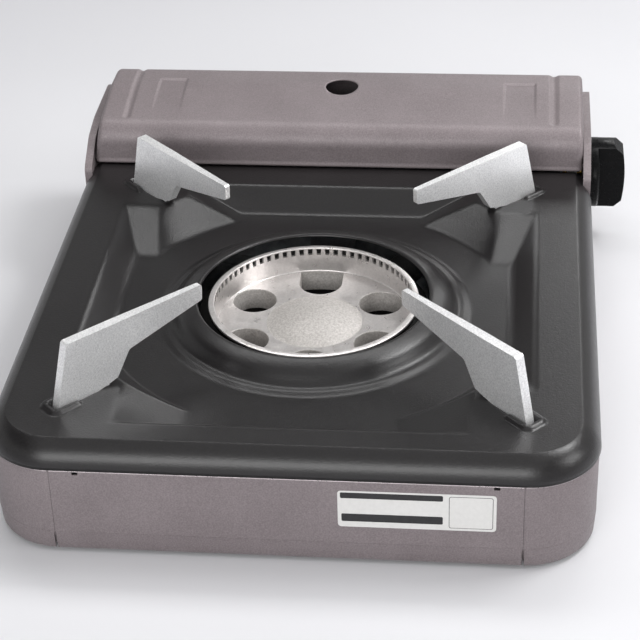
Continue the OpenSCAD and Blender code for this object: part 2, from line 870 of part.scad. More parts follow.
// Ring stand with three legs under the burner
stand_angles = [60, 180, 270];
module burner_stand() {
    t = 1.2;
    leg_w = 16;
    color([0.6, 0.61, 0.62]) placed() {
        translate([burner_x, 0, 0]) {
            difference() {
                translate([0, 0, base_z - t]) cylinder(r = stand_r, h = t);
                translate([0, 0, base_z - t - 1]) cylinder(r = stand_ring_r, h = t + 2);
            }
            for (a = stand_angles) {
                rotate([0, 0, a]) translate([0, leg_w / 2, 0]) rotate([90, 0, 0])
                    linear_extrude(leg_w)
                        folded([
                            [stand_r + 20, pan_top], [stand_r + 6, pan_top],
                            [stand_r, base_z - t], [base_r - 2, base_z - t]
                        ], [2.5, 1], -t);
            }
        }
    }
}

// ---- Gas control ----

valve_r = 15;
valve_front = -121.6;
valve_back = -99;
head_back = -90;
housing_z = 53.2;
module valve_body() {
    color([0.66, 0.66, 0.67]) placed() {
        difference() {
            union() {
                y_bar(cartridge_x, knob_z, valve_r, valve_front, valve_back);
                y_bar(cartridge_x, cartridge_z, 16, valve_back - eps, head_back);
                translate([cartridge_x, valve_y - 4, knob_z]) cylinder(r = 11, h = housing_z - knob_z + 1);
                translate([cartridge_x, valve_y - 4, housing_z]) cylinder(r = 18, h = 7);
                translate([cartridge_x, valve_y, chamber_z]) rotate([0, 0, mix_angle + 180])
                    rotate([0, 90, 0]) cylinder(r = 6, h = 30);
            }
            y_bar(cartridge_x, knob_z, spindle_r + run, valve_front - 1, -111);
            y_bar(cartridge_x, cartridge_z, 6.4, head_back - 6, head_back + 1);
            translate([cartridge_x, valve_y - 4, housing_z + 4]) cylinder(r = 15, h = 4);
            for (side = [-1, 1]) {
                y_bar(cartridge_x + side * 9, knob_z + 8, 1.5 + fit, valve_front - 1, valve_front + 6);
            }
            translate([cartridge_x, valve_y, chamber_z]) rotate([0, 0, mix_angle + 180])
                translate([24, 0, 0]) rotate([0, 90, 0]) cylinder(r = 3 + run, h = 8);
        }
    }
}

module regulator_cap() {
    z0 = housing_z + 7.8;
    color([0.72, 0.6, 0.35]) placed()
        translate([cartridge_x, valve_y - 4, 0])
            rotate_extrude() polygon([
                [14, z0], [18, z0], [18, z0 + 2], [14, z0 + 5], [9, z0 + 8.4], [0, z0 + 8.4],
                [0, z0 + 7.2], [8.5, z0 + 7.2], [13, z0 + 4]
            ]);
}

module diaphragm() {
    color([0.2, 0.2, 0.2]) placed()
        translate([cartridge_x, valve_y - 4, housing_z + 7]) cylinder(r = 17.6, h = 0.7);
}

// Pressure spring between the diaphragm and its cap
module regulator_spring() {
    turns = 4;
    wire_r = 0.6;
    coil_r = 5.6;
    steps = 14;
    sides = 8;
    z0 = housing_z + 7.8 + wire_r;
    rise = 7.2 - 2 * wire_r - 0.2;
    n = turns * steps;
    rings = [for (i = [0:n]) let (a = 360 * i / steps) [
        for (j = [0:sides - 1]) let (b = 360 * j / sides, r = coil_r + wire_r * cos(b))
            [r * cos(a), r * sin(a), z0 + rise * i / n + wire_r * sin(b)]
    ]];
    color([0.75, 0.75, 0.76]) placed()
        translate([cartridge_x, valve_y - 4, 0])
            polyhedron(
                points = [for (ring = rings) each ring],
                faces = concat(
                    [[for (j = [0:sides - 1]) j]],
                    [for (i = [0:n - 1], j = [0:sides - 1])
                        [i * sides + j, (i + 1) * sides + j,
                            (i + 1) * sides + (j + 1) % sides, i * sides + (j + 1) % sides]],
                    [[for (j = [sides - 1:-1:0]) n * sides + j]]
                )
            );
}

// Brass jet that blows into the mixing tube
module nozzle() {
    color([0.78, 0.62, 0.3]) placed()
        translate([cartridge_x, valve_y, chamber_z]) rotate([0, 0, mix_angle + 180]) translate([24.2, 0, 0])
            rotate([0, 90, 0]) difference() {
                union() {
                    cylinder(r = 3, h = 6);
                    translate([0, 0, 6 - eps]) cylinder(r = 4, h = 9, $fn = 6);
                    translate([0, 0, 15 - 2 * eps]) cylinder(r1 = 3, r2 = 1.6, h = 5);
                }
                translate([0, 0, -1]) cylinder(r = 0.7, h = 30);
            }
}

module coupling_magnets() {
    color([0.35, 0.35, 0.36]) placed() {
        difference() {
            y_bar(cartridge_x, cartridge_z, 15.5, head_back + fit / 2, head_back + 3.2);
            y_bar(cartridge_x, cartridge_z, 9, head_back - 1, head_back + 4);
            translate([cartridge_x - 20, head_back, cartridge_z - 3]) cube([40, 5, 6]);
            translate([cartridge_x - 4, head_back, cartridge_z + 5]) cube([8, 5, 20]);
        }
    }
}

module coupling_seal() {
    color([0.1, 0.1, 0.1]) placed()
        translate([cartridge_x, head_back - 4, cartridge_z]) rotate([-90, 0, 0])
            difference() {
                cylinder(r = 6.3, h = 4.4);
                translate([0, 0, -1]) cylinder(r = 2.4, h = 7);
            }
}

module guide_pin() {
    color([0.75, 0.75, 0.75]) placed()
        y_bar(cartridge_x, cartridge_z + 12.5, 1.5, head_back + fit / 2, head_back + 7);
}

// Folded plate that carries the valve: upright against its front face, foot on the pan
module control_bracket() {
    t = 1.2;
    half_w = 17;
    color([0.62, 0.63, 0.64]) placed() {
        difference() {
            translate([cartridge_x - half_w, 0, 0]) rotate([90, 0, 90])
                linear_extrude(2 * half_w)
                    folded([[-98, pan_top + t], [valve_front, pan_top + t], [valve_front, 52]], [3], t);
            y_bar(cartridge_x, knob_z, spindle_r + 0.6, valve_front - 4, valve_front + 2);
            translate([foot_x, -foot_y, pan_z]) cylinder(r = foot_stem_r + 2.6, h = 6);
            for (side = [-1, 1]) {
                y_bar(cartridge_x + side * 9, knob_z + 8, 1.5 + fit, valve_front - 4, valve_front + 2);
            }
        }
    }
}

module bracket_screws() {
    color([0.75, 0.75, 0.75]) placed() {
        for (side = [-1, 1]) {
            y_bar(cartridge_x + side * 9, knob_z + 8, 1.5, valve_front - 1.3, valve_front + 5.5);
            y_bar(cartridge_x + side * 9, knob_z + 8, 2.8, valve_front - 3, valve_front - 1.2);
        }
    }
}

// Spindle, cam and knob turn together
cam_y0 = valve_front - 9.4;
cam_y1 = valve_front - 3.9;
module spindle() {
    color([0.78, 0.62, 0.3]) placed() {
        y_bar(cartridge_x, knob_z, spindle_r, cam_y1 + fit, -112);
        intersection() {
            y_bar(cartridge_x, knob_z, spindle_r, -knob_front + 6, cam_y1 + fit + eps);
            translate([cartridge_x - spindle_r, -knob_front, knob_z - spindle_r])
                cube([2 * spindle_r, knob_front + cam_y1, 1.6 * spindle_r]);
        }
        y_bar(cartridge_x, knob_z, spindle_r + 1.2, cam_y1 + fit, cam_y1 + 1.2);
    }
}

// Section of a D-shaped bore round the spindle's flat
module spindle_bore(y0, y1) {
    intersection() {
        y_bar(cartridge_x, knob_z, spindle_r + run, y0, y1);
        translate([cartridge_x - 10, y0 - 1, knob_z - 10])
            cube([20, y1 - y0 + 2, 10 + 0.6 * spindle_r + run]);
    }
}

// Spiral cam: its radius grows evenly by the lift as the knob turns
cam_low_r = 7;
module ignition_cam() {
    steps = 16;
    start = 180 - knob_turn;
    lift = [for (i = [0:steps]) let (a = 180 - knob_turn * i / steps)
        (cam_low_r + cam_lift * i / steps) * [cos(a), sin(a)]];
    color([0.85, 0.83, 0.78]) placed() {
        difference() {
            union() {
                translate([cartridge_x, 0, knob_z]) slice(cam_y0, cam_y1)
                    polygon(concat(lift, arc([0, 0], cam_low_r, start - 20, -180, 16)));
            }
            spindle_bore(cam_y0 - 1, cam_y1 + 1);
        }
    }
}

// Knob: a round skirt and a grip bar across it, domed in front and chamfered at both ends
skirt_h = 4.8;
module knob() {
    y0 = -knob_front;
    y1 = -knob_back;
    dome_ball_r = 90;
    chamfer_h = 5.4;
    chamfer_l = 5;
    half = knob_r - chamfer_l;
    tip_y = dome_ball_r - sqrt(pow(dome_ball_r, 2) - pow(half, 2));
    color([0.08, 0.08, 0.09]) placed() translate([cartridge_x, 0, knob_z]) {
        difference() {
            union() {
                rotate([90, 0, 0]) rotate_extrude() polygon([
                    [0, -y1], [knob_r, -y1], [knob_r, -y1 + skirt_h - 1],
                    [knob_r - 1, -y1 + skirt_h], [0, -y1 + skirt_h]
                ]);
                intersection() {
                    y_bar(0, 0, knob_r, y0, y1);
                    slice_x(-grip_w / 2, grip_w / 2) polygon(concat(
                        [[y1 - 1, knob_r], [y0 + tip_y + chamfer_h, knob_r]],
                        [for (i = [8:-1:-8]) let (z = half * i / 8)
                            [y0 + dome_ball_r - sqrt(pow(dome_ball_r, 2) - z * z), z]],
                        [[y0 + tip_y + chamfer_h, -knob_r], [y1 - 1, -knob_r]]
                    ));
                }
            }
            translate([-cartridge_x, 0, -knob_z]) spindle_bore(y0 + 6 - fit, y1 + 1);
        }
    }
}

// Extrudes a Y-Z outline from x0 to x1
module slice_x(x0, x1) {
    translate([x0, 0, 0]) rotate([90, 0, 90]) linear_extrude(x1 - x0) children();
}

module dial_plate() {
    color([0.75, 0.74, 0.73]) placed() {
        difference() {
            y_bar(cartridge_x, knob_z, 27, -wall_half - dial_t, -wall_half);
            y_bar(cartridge_x, knob_z, spindle_hole_r, -half_d - 3, -half_d + 3);
        }
    }
}

// Piezo igniter, struck by the cam
igniter_y = (cam_y0 + cam_y1) / 2;
igniter_x1 = cartridge_x - cam_low_r - 9;
igniter_l = 30;
igniter_half = 4.8;
module igniter_body() {
    color([0.9, 0.88, 0.84]) placed() {
        difference() {
            union() {
                translate([igniter_x1 - igniter_l, igniter_y - igniter_half, knob_z - igniter_half])
                    cube([igniter_l, 2 * igniter_half, 2 * igniter_half]);
                translate([igniter_x1 - igniter_l - 4, igniter_y, knob_z])
                    rotate([0, 90, 0]) cylinder(r = 2.4, h = 4 + eps);
            }
            translate([igniter_x1 - 12, igniter_y, knob_z])
                rotate([0, 90, 0]) cylinder(r = 2.5 + run, h = 13);
            translate([igniter_x1 - igniter_l - 5, igniter_y, knob_z])
                rotate([0, 90, 0]) cylinder(r = 1.5 + fit, h = 6);
        }
    }
}

plunger_nose_r = 2.5;
plunger_gap = 0.5;
module igniter_plunger() {
    tip_x = cartridge_x - cam_low_r - plunger_gap;
    color([0.55, 0.1, 0.1]) placed() {
        translate([igniter_x1 - 6.5, igniter_y, knob_z])
            rotate([0, 90, 0]) cylinder(r = 2.5, h = tip_x - plunger_nose_r - igniter_x1 + 6.5 + 1);
        intersection() {
            y_bar(tip_x - plunger_nose_r, knob_z, plunger_nose_r, igniter_y - 2.5, igniter_y + 2.5);
            translate([tip_x - 6, igniter_y, knob_z]) rotate([0, 90, 0]) cylinder(r = 2.5, h = 8);
        }
    }
}

// Clip that holds the igniter above the pan
module igniter_clip() {
    t = 1;
    x0 = igniter_x1 - igniter_l + 8;
    w = 12;
    hug = igniter_half + fit;
    color([0.62, 0.63, 0.64]) placed() {
        slice_x(x0, x0 + w) folded([
            [igniter_y + hug + 14, pan_top + t],
            [igniter_y + hug + t, pan_top + t],
            [igniter_y + hug + t, knob_z + hug + t],
            [igniter_y - hug - t, knob_z + hug + t],
            [igniter_y - hug - t, knob_z - 2]
        ], [2, 1.1, 1.1], t);
    }
}

// ---- Compartment sheets ----

partition_x = cover_x - 5.5;
partition_y0 = -60;
partition_y1 = wall_half - flange_w - 2;
panel_half = 12;
panel_z = cartridge_z - 17;
module partition() {
    foot_w = 10;
    color([0.62, 0.63, 0.64]) placed() {
        difference() {
            slice(partition_y0, partition_y1)
                folded([
                    [partition_x - foot_w, pan_top],
                    [partition_x, pan_top],
                    [partition_x, rim_z - plate_t - rest_gap],
                    [partition_x - 8, rim_z - plate_t - rest_gap]
                ], [1.6, 1.6], sheet);
            translate([partition_x - 2, -panel_half - 0.6, panel_z - panel_t - 0.6])
                cube([4, 2 * panel_half + 1.2, panel_t + 1.2]);
            for (y = [30:12:102], z = [18, 34]) {
                translate([partition_x - 2, y, z]) cube([4, 7, 3]);
            }
        }
    }
}

// Trough under the cartridge with two saddles that stand on the pan
cradle_r = cartridge_r + 1.1;
cradle_t = 1;
module cartridge_cradle() {
    color([0.62, 0.63, 0.64]) placed() {
        translate([cartridge_x, 0, cartridge_z]) slice(-75, 115)
            polygon(concat(
                arc([0, 0], cradle_r, -120, -60, 24),
                arc([0, 0], cradle_r + cradle_t, -60, -120, 24)
            ));
        for (y = [-50, 90]) {
            difference() {
                slice(y, y + 1.2) translate([cartridge_x - 18, pan_top]) square([36, 14]);
                y_bar(cartridge_x, cartridge_z, cradle_r + cradle_t / 2, y - 1, y + 3);
            }
            translate([cartridge_x - 18, y, pan_top]) cube([36, 9, 1.2]);
        }
    }
}

// Aluminium strip that carries a little of the burner's heat to the cartridge
panel_t = 0.6;
module heat_panel() {
    r = cartridge_r + 0.4;
    tab_x = burner_x + base_r + fit;
    start = -90 - acos((cartridge_z - panel_z) / r);
    color([0.82, 0.83, 0.84]) placed() {
        translate([cartridge_x, 0, cartridge_z]) slice(-panel_half, panel_half)
            polygon(concat(
                arc([0, 0], r, start, -80, 24),
                arc([0, 0], r + panel_t, -80, start, 24)
            ));
        slice(-panel_half, panel_half)
            folded([
                [tab_x, panel_z + 13],
                [tab_x, panel_z - panel_t],
                [cartridge_x + r * cos(start), panel_z - panel_t]
            ], [1.2], panel_t);
    }
}

// ---- Ignition electrode and lead ----

electrode_r = air_ring_r + 1;
electrode_a = air_angles[3];
module at_electrode() {
    translate([burner_x, 0, 0]) rotate([0, 0, electrode_a]) translate([electrode_r, 0, 0]) children();
}

insulator_r = 2.5;
insulator_z0 = base_z - 5;
insulator_z1 = bowl_z - 4;
wire_r = 0.8;
module electrode_insulator() {
    color([0.93, 0.92, 0.88]) placed() at_electrode()
        rotate_extrude() polygon([
            [wire_r + run, insulator_z0], [insulator_r, insulator_z0], [insulator_r, base_z - 1.15],
            [insulator_r + 1, base_z - 1.15], [insulator_r + 1, base_z + 0.6], [insulator_r, base_z + 0.6],
            [insulator_r, insulator_z1 - 0.8], [insulator_r - 0.8, insulator_z1], [wire_r + run, insulator_z1]
        ]);
}

// Spark wire: straight through the insulator, then bent towards the passage's wall
module electrode_tip() {
    z1 = insulator_z1 + 2;
    color([0.6, 0.6, 0.6]) placed() at_electrode() {
        translate([0, 0, insulator_z0 + 3]) cylinder(r = wire_r, h = z1 - insulator_z0 - 3);
        translate([0, 0, z1]) sphere(wire_r + run);
        translate([0, 0, z1]) rotate([0, 60, 0]) cylinder(r = wire_r, h = 4.6);
    }
}

// Strap under the stand's ring that holds the insulator
clip_t = 0.8;
module electrode_clip() {
    z1 = base_z - 1.2;
    color([0.62, 0.63, 0.64]) placed() {
        translate([burner_x, 0, 0]) rotate([0, 0, electrode_a]) difference() {
            union() {
                translate([electrode_r, -6, z1 - clip_t]) cube([base_r + 2.6 - electrode_r, 12, clip_t]);
                translate([electrode_r, 0, z1 - clip_t]) cylinder(r = 6, h = clip_t);
            }
            translate([electrode_r, 0, z1 - clip_t - 1]) cylinder(r = insulator_r + run, h = 3);
        }
    }
}

// Route of the ignition lead: from the igniter, along the pan, to the electrode
lead_r = 1.4;
lead_from = [igniter_x1 - igniter_l, igniter_y, knob_z];
lead_to = [burner_x, 0, 0];
lead_z = pan_top + 1.8;
lead_route = concat(
    [for (p = [[-2, 0, 0], [-10, 0, -1], [-20, 4, -9], [-29, 11, -22], [-36, 14, -30]]) lead_from + p],
    [for (p = [
        [72, -110], [32, -106], [-18, -106], [-60, -106], [-82, -98], [-92, -74], [-94, -40], [-90, 0]
    ]) lead_to + [p[0], p[1], lead_z]],
    [for (p = [[-76, 18, 7], [-60, 16, 10], [-47, 6, 12.6], [-39, 0.4, 14.4]]) lead_to + p],
    [lead_to + [electrode_r * cos(electrode_a), electrode_r * sin(electrode_a), insulator_z0 - 0.6]]
);
function spline(a, b, c, d, t) =
    0.5 * (2 * b + (c - a) * t + (2 * a - 5 * b + 4 * c - d) * t * t + (3 * b - a - 3 * c + d) * t * t * t);
module ignition_lead() {
    sides = 8;
    steps = 5;
    m = len(lead_route) - 1;
    path = concat(
        [for (i = [0:m - 1], k = [0:steps - 1])
            spline(
                lead_route[max(i - 1, 0)], lead_route[i], lead_route[i + 1], lead_route[min(i + 2, m)], k / steps
            )],
        [lead_route[m]]
    );
    n = len(path) - 1;
    rings = [for (i = [0:n]) let (
        along = unit(path[min(i + 1, n)] - path[max(i - 1, 0)]),
        u = unit(cross(along, abs(along[2]) > 0.9 ? [1, 0, 0] : [0, 0, 1])),
        v = cross(along, u)
    ) [for (j = [0:sides - 1]) path[i] + lead_r * (cos(360 * j / sides) * u + sin(360 * j / sides) * v)]];
    color([0.1, 0.1, 0.1]) placed()
        polyhedron(
            points = [for (ring = rings) each ring],
            faces = concat(
                [[for (j = [0:sides - 1]) j]],
                [for (i = [0:n - 1], j = [0:sides - 1])
                    [i * sides + j, (i + 1) * sides + j,
                        (i + 1) * sides + (j + 1) % sides, i * sides + (j + 1) % sides]],
                [[for (j = [sides - 1:-1:0]) n * sides + j]]
            )
        );
}

// ---- Cartridge cover ----

cover_t = 1;
cheek_t = 0.8;
cover_x1 = right_x;
hinge_x = cover_x1 - hinge_inset;
hinge_z = wall_z1 + 7.2;
skirt_low_z = hinge_z - 5;
ear_r = 5;
cover_path = [
    [cover_x, rim_z + cover_gap],
    [cover_x, cover_z - 5.8],
    [cover_x + 44, cover_z + 0.2],
    [cover_x1, cover_z - 1.2],
    [cover_x1, skirt_low_z]
];
cover_radii = [8, 60, 16];

// Everything inside the cover's outer face less inset
module cover_section(inset) {
    polygon(rounded(beside(cover_path, -inset), beside_radii(cover_path, cover_radii, -inset)));
}

// Form of the cover with its pressed grooves, outer face at inset 0
cover_hole_x = cover_x + 44.5;
groove_y = 117;
groove_w = 6.5;
groove_x0 = cover_x + 7;
groove_d = 0.6;
mark_y = [-103.3, 89.3];
mark_w = [16.4, 18];
mark_x0 = cover_x + 16;
mark_l = 36;
mark_line = 1.6;
module cover_form(inset) {
    difference() {
        slice(-cover_half + (inset > 0 ? cheek_t : 0), cover_half - (inset > 0 ? cheek_t : 0)) cover_section(inset);
        difference() {
            union() {
                for (side = [-1, 1]) {
                    translate([groove_x0, side * groove_y, rim_z + 10]) {
                        translate([0, -groove_w / 2, 0]) cube([cover_w, groove_w, far]);
                        cylinder(r = groove_w / 2, h = far);
                    }
                }
                for (i = [0, 1]) {
                    translate([mark_x0, -mark_y[i] - mark_w[i], 0]) difference() {
                        cube([mark_l, mark_w[i], far]);
                        translate([-1, mark_line, -1])
                            cube([mark_l + 1 - mark_line, mark_w[i] - 2 * mark_line, far + 2]);
                    }
                }
            }
            slice(-cover_half - 1, cover_half + 1) cover_section(inset + groove_d);
        }
    }
}

module cartridge_cover() {
    hem_h = 5;
    color([0.5, 0.46, 0.47]) placed() {
        difference() {
            union() {
                difference() {
                    cover_form(0);
                    cover_form(cover_t);
                    translate([cover_x + cover_t, -cover_half + cheek_t, 0])
                        cube([cover_w - 2 * cover_t, 2 * (cover_half - cheek_t), rim_z + 4]);
                }
                for (side = [-1, 1]) {
                    slice(side > 0 ? cover_half - cheek_t : -cover_half, side > 0 ? cover_half : cheek_t - cover_half)
                        union() {
                            polygon(concat(
                                rounded(cover_path, cover_radii),
                                [[hinge_x, skirt_low_z], [hinge_x - ear_r - 1, hinge_z + 3.5]]
                            ));
                            translate([hinge_x, hinge_z]) circle(ear_r);
                        }
                }
                translate([cover_x + cover_t - eps, -cover_half + cheek_t, rim_z + cover_gap])
                    cube([cover_t, 2 * (cover_half - cheek_t), hem_h]);
            }
            for (side = [-1, 1]) {
                y_bar(hinge_x, hinge_z, pin_r + run, side * cover_half - 3, side * cover_half + 3);
            }
            translate([cover_hole_x, 0, hinge_z]) cylinder(r = cover_hole_r, h = far);
        }
    }
}

// Two shouldered pins riveted to the housing's raised ends
module hinge_pins() {
    color([0.75, 0.75, 0.76]) placed() {
        for (side = [0, 1]) {
            mirror([0, side, 0]) {
                y_bar(hinge_x, hinge_z, pin_r + 1.4, -inner_half + 0.8, -cover_half - 0.3);
                y_bar(hinge_x, hinge_z, pin_r, -inner_half, -cover_half + 2.1);
            }
        }
    }
}

// ---- Nodes ----

base_pan();
end_panel();
front_panel();
rear_panel();
outer_panel();
partition();
cartridge_cradle();
heat_panel();
burner_stand();
burner_base();
mixing_tube();
burner_bowl();
flame_ring();
nozzle();
valve_body();
regulator_cap();
diaphragm();
regulator_spring();
coupling_magnets();
coupling_seal();
guide_pin();
control_bracket();
bracket_screws();
spindle();
ignition_cam();
knob();
dial_plate();
igniter_body();
igniter_plunger();
igniter_clip();
ignition_lead();
electrode_insulator();
electrode_tip();
electrode_clip();
cartridge_cover();
hinge_pins();
top_plate();
support_front_left();
support_front_right();
support_rear_left();
support_rear_right();
feet();
body_screws();
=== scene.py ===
"""Looks of a butane cassette stove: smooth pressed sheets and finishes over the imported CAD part.
Lengths in the tables below are millimetres; the frame is in metres."""
import math
import bmesh
import bpy
import numpy as np
from mathutils import Matrix, Vector


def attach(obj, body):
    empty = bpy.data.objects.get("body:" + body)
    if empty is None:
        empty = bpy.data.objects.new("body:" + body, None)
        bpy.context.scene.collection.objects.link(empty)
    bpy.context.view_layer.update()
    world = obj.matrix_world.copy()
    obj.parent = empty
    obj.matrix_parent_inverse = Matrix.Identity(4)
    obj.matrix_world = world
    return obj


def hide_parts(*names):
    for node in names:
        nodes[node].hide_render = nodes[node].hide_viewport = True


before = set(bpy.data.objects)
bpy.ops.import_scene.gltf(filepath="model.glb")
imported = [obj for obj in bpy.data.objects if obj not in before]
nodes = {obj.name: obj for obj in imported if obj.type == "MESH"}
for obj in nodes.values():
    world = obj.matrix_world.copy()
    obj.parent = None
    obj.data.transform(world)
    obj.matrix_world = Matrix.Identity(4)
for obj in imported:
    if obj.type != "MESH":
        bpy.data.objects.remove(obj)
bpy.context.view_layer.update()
MM = 0.001
PLAN_SHIFT = 9.85  # the housing's own middle, from the frame's origin
PLATE_SHEET, COVER_SHEET = 1.0, 0.8

# ---- Camera ----

CAM_AT = (-0.8417, -0.08475, 0.558)
CAM_FORWARD = Vector((0.83683, 0.10096, -0.53807))
CAM_ROLL = math.radians(-2.109)
CAM_LENS = 109.817
CAM_SHIFT = (0.01797, 0.0078)


def make_camera():
    forward = CAM_FORWARD.normalized()
    flat_right = forward.cross(Vector((0, 0, 1))).normalized()
    flat_up = flat_right.cross(forward)
    right = math.cos(CAM_ROLL) * flat_right + math.sin(CAM_ROLL) * flat_up
    up = math.cos(CAM_ROLL) * flat_up - math.sin(CAM_ROLL) * flat_right
    data = bpy.data.cameras.new("camera")
    data.sensor_width = 36
    data.lens = CAM_LENS
    data.shift_x, data.shift_y = CAM_SHIFT
    data.clip_start = 0.01
    data.clip_end = 50
    camera = bpy.data.objects.new("camera", data)
    bpy.context.scene.collection.objects.link(camera)
    basis = Matrix((right, up, -forward)).transposed().to_4x4()
    camera.matrix_world = Matrix.Translation(CAM_AT) @ basis
    bpy.context.scene.camera = camera


make_camera()
bpy.context.scene.view_settings.view_transform = "Standard"

# ---- Material helpers ----


def srgb(r, g, b):
    """Linear colour of an 8-bit sRGB one."""
    parts = []
    for c in (r, g, b):
        c = c / 255
        parts.append(c / 12.92 if c <= 0.04045 else ((c + 0.055) / 1.055) ** 2.4)
    return (*parts, 1.0)


class Mat:
    """A Principled material with short helpers for its nodes."""

    def __init__(self, name, rough=0.5, metal=0.0, **values):
        self.m = bpy.data.materials.new(name)
        self.m.use_nodes = True
        self.t = self.m.node_tree
        self.b = self.t.nodes["Principled BSDF"]
        self.b.inputs["Roughness"].default_value = rough
        self.b.inputs["Metallic"].default_value = metal
        for key, value in values.items():
            self.b.inputs[key.replace("_", " ")].default_value = value
        self.where = self.node("ShaderNodeTexCoord").outputs["Object"]

    def node(self, kind, **values):
        n = self.t.nodes.new(kind)
        for key, value in values.items():
            setattr(n, key, value)
        return n

    def link(self, a, b):
        self.t.links.new(a, b)

    def noise(self, scale, detail=2.0, rough=0.5):
        n = self.node("ShaderNodeTexNoise")
        n.inputs["Scale"].default_value = scale
        n.inputs["Detail"].default_value = detail
        n.inputs["Roughness"].default_value = rough
        self.link(self.where, n.inputs["Vector"])
        return n.outputs["Fac"]

    def ramp(self, source, stops):
        r = self.node("ShaderNodeValToRGB")
        r.color_ramp.elements[0].position = stops[0][0]
        r.color_ramp.elements[0].color = stops[0][1]
        r.color_ramp.elements[1].position = stops[-1][0]
        r.color_ramp.elements[1].color = stops[-1][1]
        for at, colour in stops[1:-1]:
            r.color_ramp.elements.new(at).color = colour
        self.link(source, r.inputs["Fac"])
        return r.outputs["Color"]

    def mapped(self, source, low, high, from_low=0.0, from_high=1.0):
        r = self.node("ShaderNodeMapRange")
        ends = {"From Min": from_low, "From Max": from_high, "To Min": low, "To Max": high}
        for key, value in ends.items():
            r.inputs[key].default_value = value
        self.link(source, r.inputs["Value"])
        return r.outputs["Result"]

    def math(self, op, a, b):
        n = self.node("ShaderNodeMath", operation=op)
        for i, value in enumerate((a, b)):
            if isinstance(value, (int, float)):
                n.inputs[i].default_value = value
            else:
                self.link(value, n.inputs[i])
        return n.outputs["Value"]

    def mix(self, fac, a, b):
        n = self.node("ShaderNodeMix", data_type="RGBA")
        for socket, value in ((n.inputs["Factor"], fac), (n.inputs[6], a), (n.inputs[7], b)):
            if isinstance(value, (int, float, tuple)):
                socket.default_value = value
            else:
                self.link(value, socket)
        return n.outputs[2]

    def bump(self, height, strength, distance_mm):
        n = self.node("ShaderNodeBump")
        n.inputs["Strength"].default_value = strength
        n.inputs["Distance"].default_value = distance_mm * MM
        self.link(height, n.inputs["Height"])
        self.link(n.outputs["Normal"], self.b.inputs["Normal"])

    def colour(self, source):
        self.link(source, self.b.inputs["Base Color"])

    def rough(self, source):
        self.link(source, self.b.inputs["Roughness"])


def grained(name, dark, light, rough, metal=0.0, scale=900.0, bump=0.25, depth=0.05, spread=0.06, **values):
    """A finish with fine grain: colour between two tones, varied roughness and a little relief."""
    m = Mat(name, metal=metal, **values)
    fine = m.noise(scale, 3.0, 0.6)
    broad = m.noise(scale / 40, 2.0)
    m.colour(m.ramp(m.math("ADD", m.math("MULTIPLY", fine, 0.75), m.math("MULTIPLY", broad, 0.25)), [
        (0.36, dark), (0.64, light)]))
    m.rough(m.mapped(m.noise(scale / 3, 2.0), rough - spread, rough + spread, 0.3, 0.7))
    m.bump(fine, bump, depth)
    return m


# ---- Finishes ----

paint = grained("body_paint", srgb(112, 103, 105), srgb(134, 125, 127), 0.52, 0.25, 1400, 0.15, 0.05,
                Coat_Weight=0.08, Coat_Roughness=0.3)
# Lighter, glossier copy of the body paint for the walls' rolled top edge: a painted highlight line along
# that edge.
edge_highlight_paint = grained("hem_painted_highlight", srgb(150, 142, 144), srgb(176, 168, 170), 0.3, 0.8, 1400, 0.05, 0.02)
coating = grained("plate_coating", srgb(16, 14, 15), srgb(26, 24, 25), 0.32, 0.0, 1100, 0.7, 0.12, 0.02)
silver = grained("support_paint", srgb(216, 216, 217), srgb(252, 252, 252), 0.37, 0.64, 1300, 0.5, 0.1, 0.04)
turned_metal = grained("turned_metal", srgb(206, 202, 200), srgb(220, 216, 214), 0.33, 0.75, 700, 0.03, 0.02)
sand_cast = grained("sand_cast", srgb(162, 158, 154), srgb(198, 194, 191), 0.6, 0.5, 1000, 0.5, 0.12)
label_white = grained("label_white", srgb(206, 205, 203), srgb(212, 211, 209), 0.4, 0.0, 500, 0.02, 0.01)
label_black = grained("label_black", srgb(24, 24, 26), srgb(34, 34, 36), 0.45, 0.0, 500, 0.02, 0.01)
zinc = grained("zinc_sheet", srgb(150, 152, 154), srgb(176, 178, 180), 0.38, 0.9, 300, 0.05, 0.02)
aluminium = grained("aluminium_sheet", srgb(186, 186, 188), srgb(206, 206, 208), 0.35, 0.9, 700, 0.1, 0.03)
cast = grained("cast_alloy", srgb(178, 176, 172), srgb(206, 204, 200), 0.42, 0.75, 1200, 0.3, 0.06)
# Near-black finish of the burner base, the valve body and the air holes' lower ends: partly the casting's
# own dark tone, partly painted shade for the dark gap under the plate's opening.
dark_cast_and_shade = grained("dark_casting", srgb(12, 11, 11), srgb(22, 21, 20), 0.7, 0.0, 900, 0.3, 0.08,
                    Specular_IOR_Level=0.2)
brass = grained("brass", srgb(176, 142, 70), srgb(200, 166, 92), 0.3, 1.0, 800, 0.05, 0.02)
rubber = grained("black_rubber", srgb(24, 24, 24), srgb(34, 34, 34), 0.75, 0.0, 900, 0.2, 0.05)
wire = grained("spring_wire", srgb(160, 160, 162), srgb(186, 186, 188), 0.28, 1.0, 900, 0.05, 0.02)
magnet = grained("magnet", srgb(60, 60, 62), srgb(78, 78, 80), 0.45, 0.3, 900, 0.1, 0.03)
bright = grained("bright_steel", srgb(196, 196, 198), srgb(214, 214, 216), 0.25, 1.0, 900, 0.05, 0.02)
cam_plastic = grained("cam_plastic", srgb(222, 220, 212), srgb(234, 232, 224), 0.5, 0.0, 900, 0.08, 0.03)
red_plastic = grained("red_plastic", srgb(168, 30, 26), srgb(186, 40, 34), 0.45, 0.0, 900, 0.08, 0.03)
knob_plastic = grained("knob_plastic", srgb(5, 5, 6), srgb(9, 9, 10), 0.3, 0.0, 1200, 0.05, 0.02,
                       Specular_IOR_Level=0.12)
dial_sheet = grained("dial_sheet", srgb(196, 196, 196), srgb(212, 212, 212), 0.4, 0.6, 900, 0.05, 0.02)
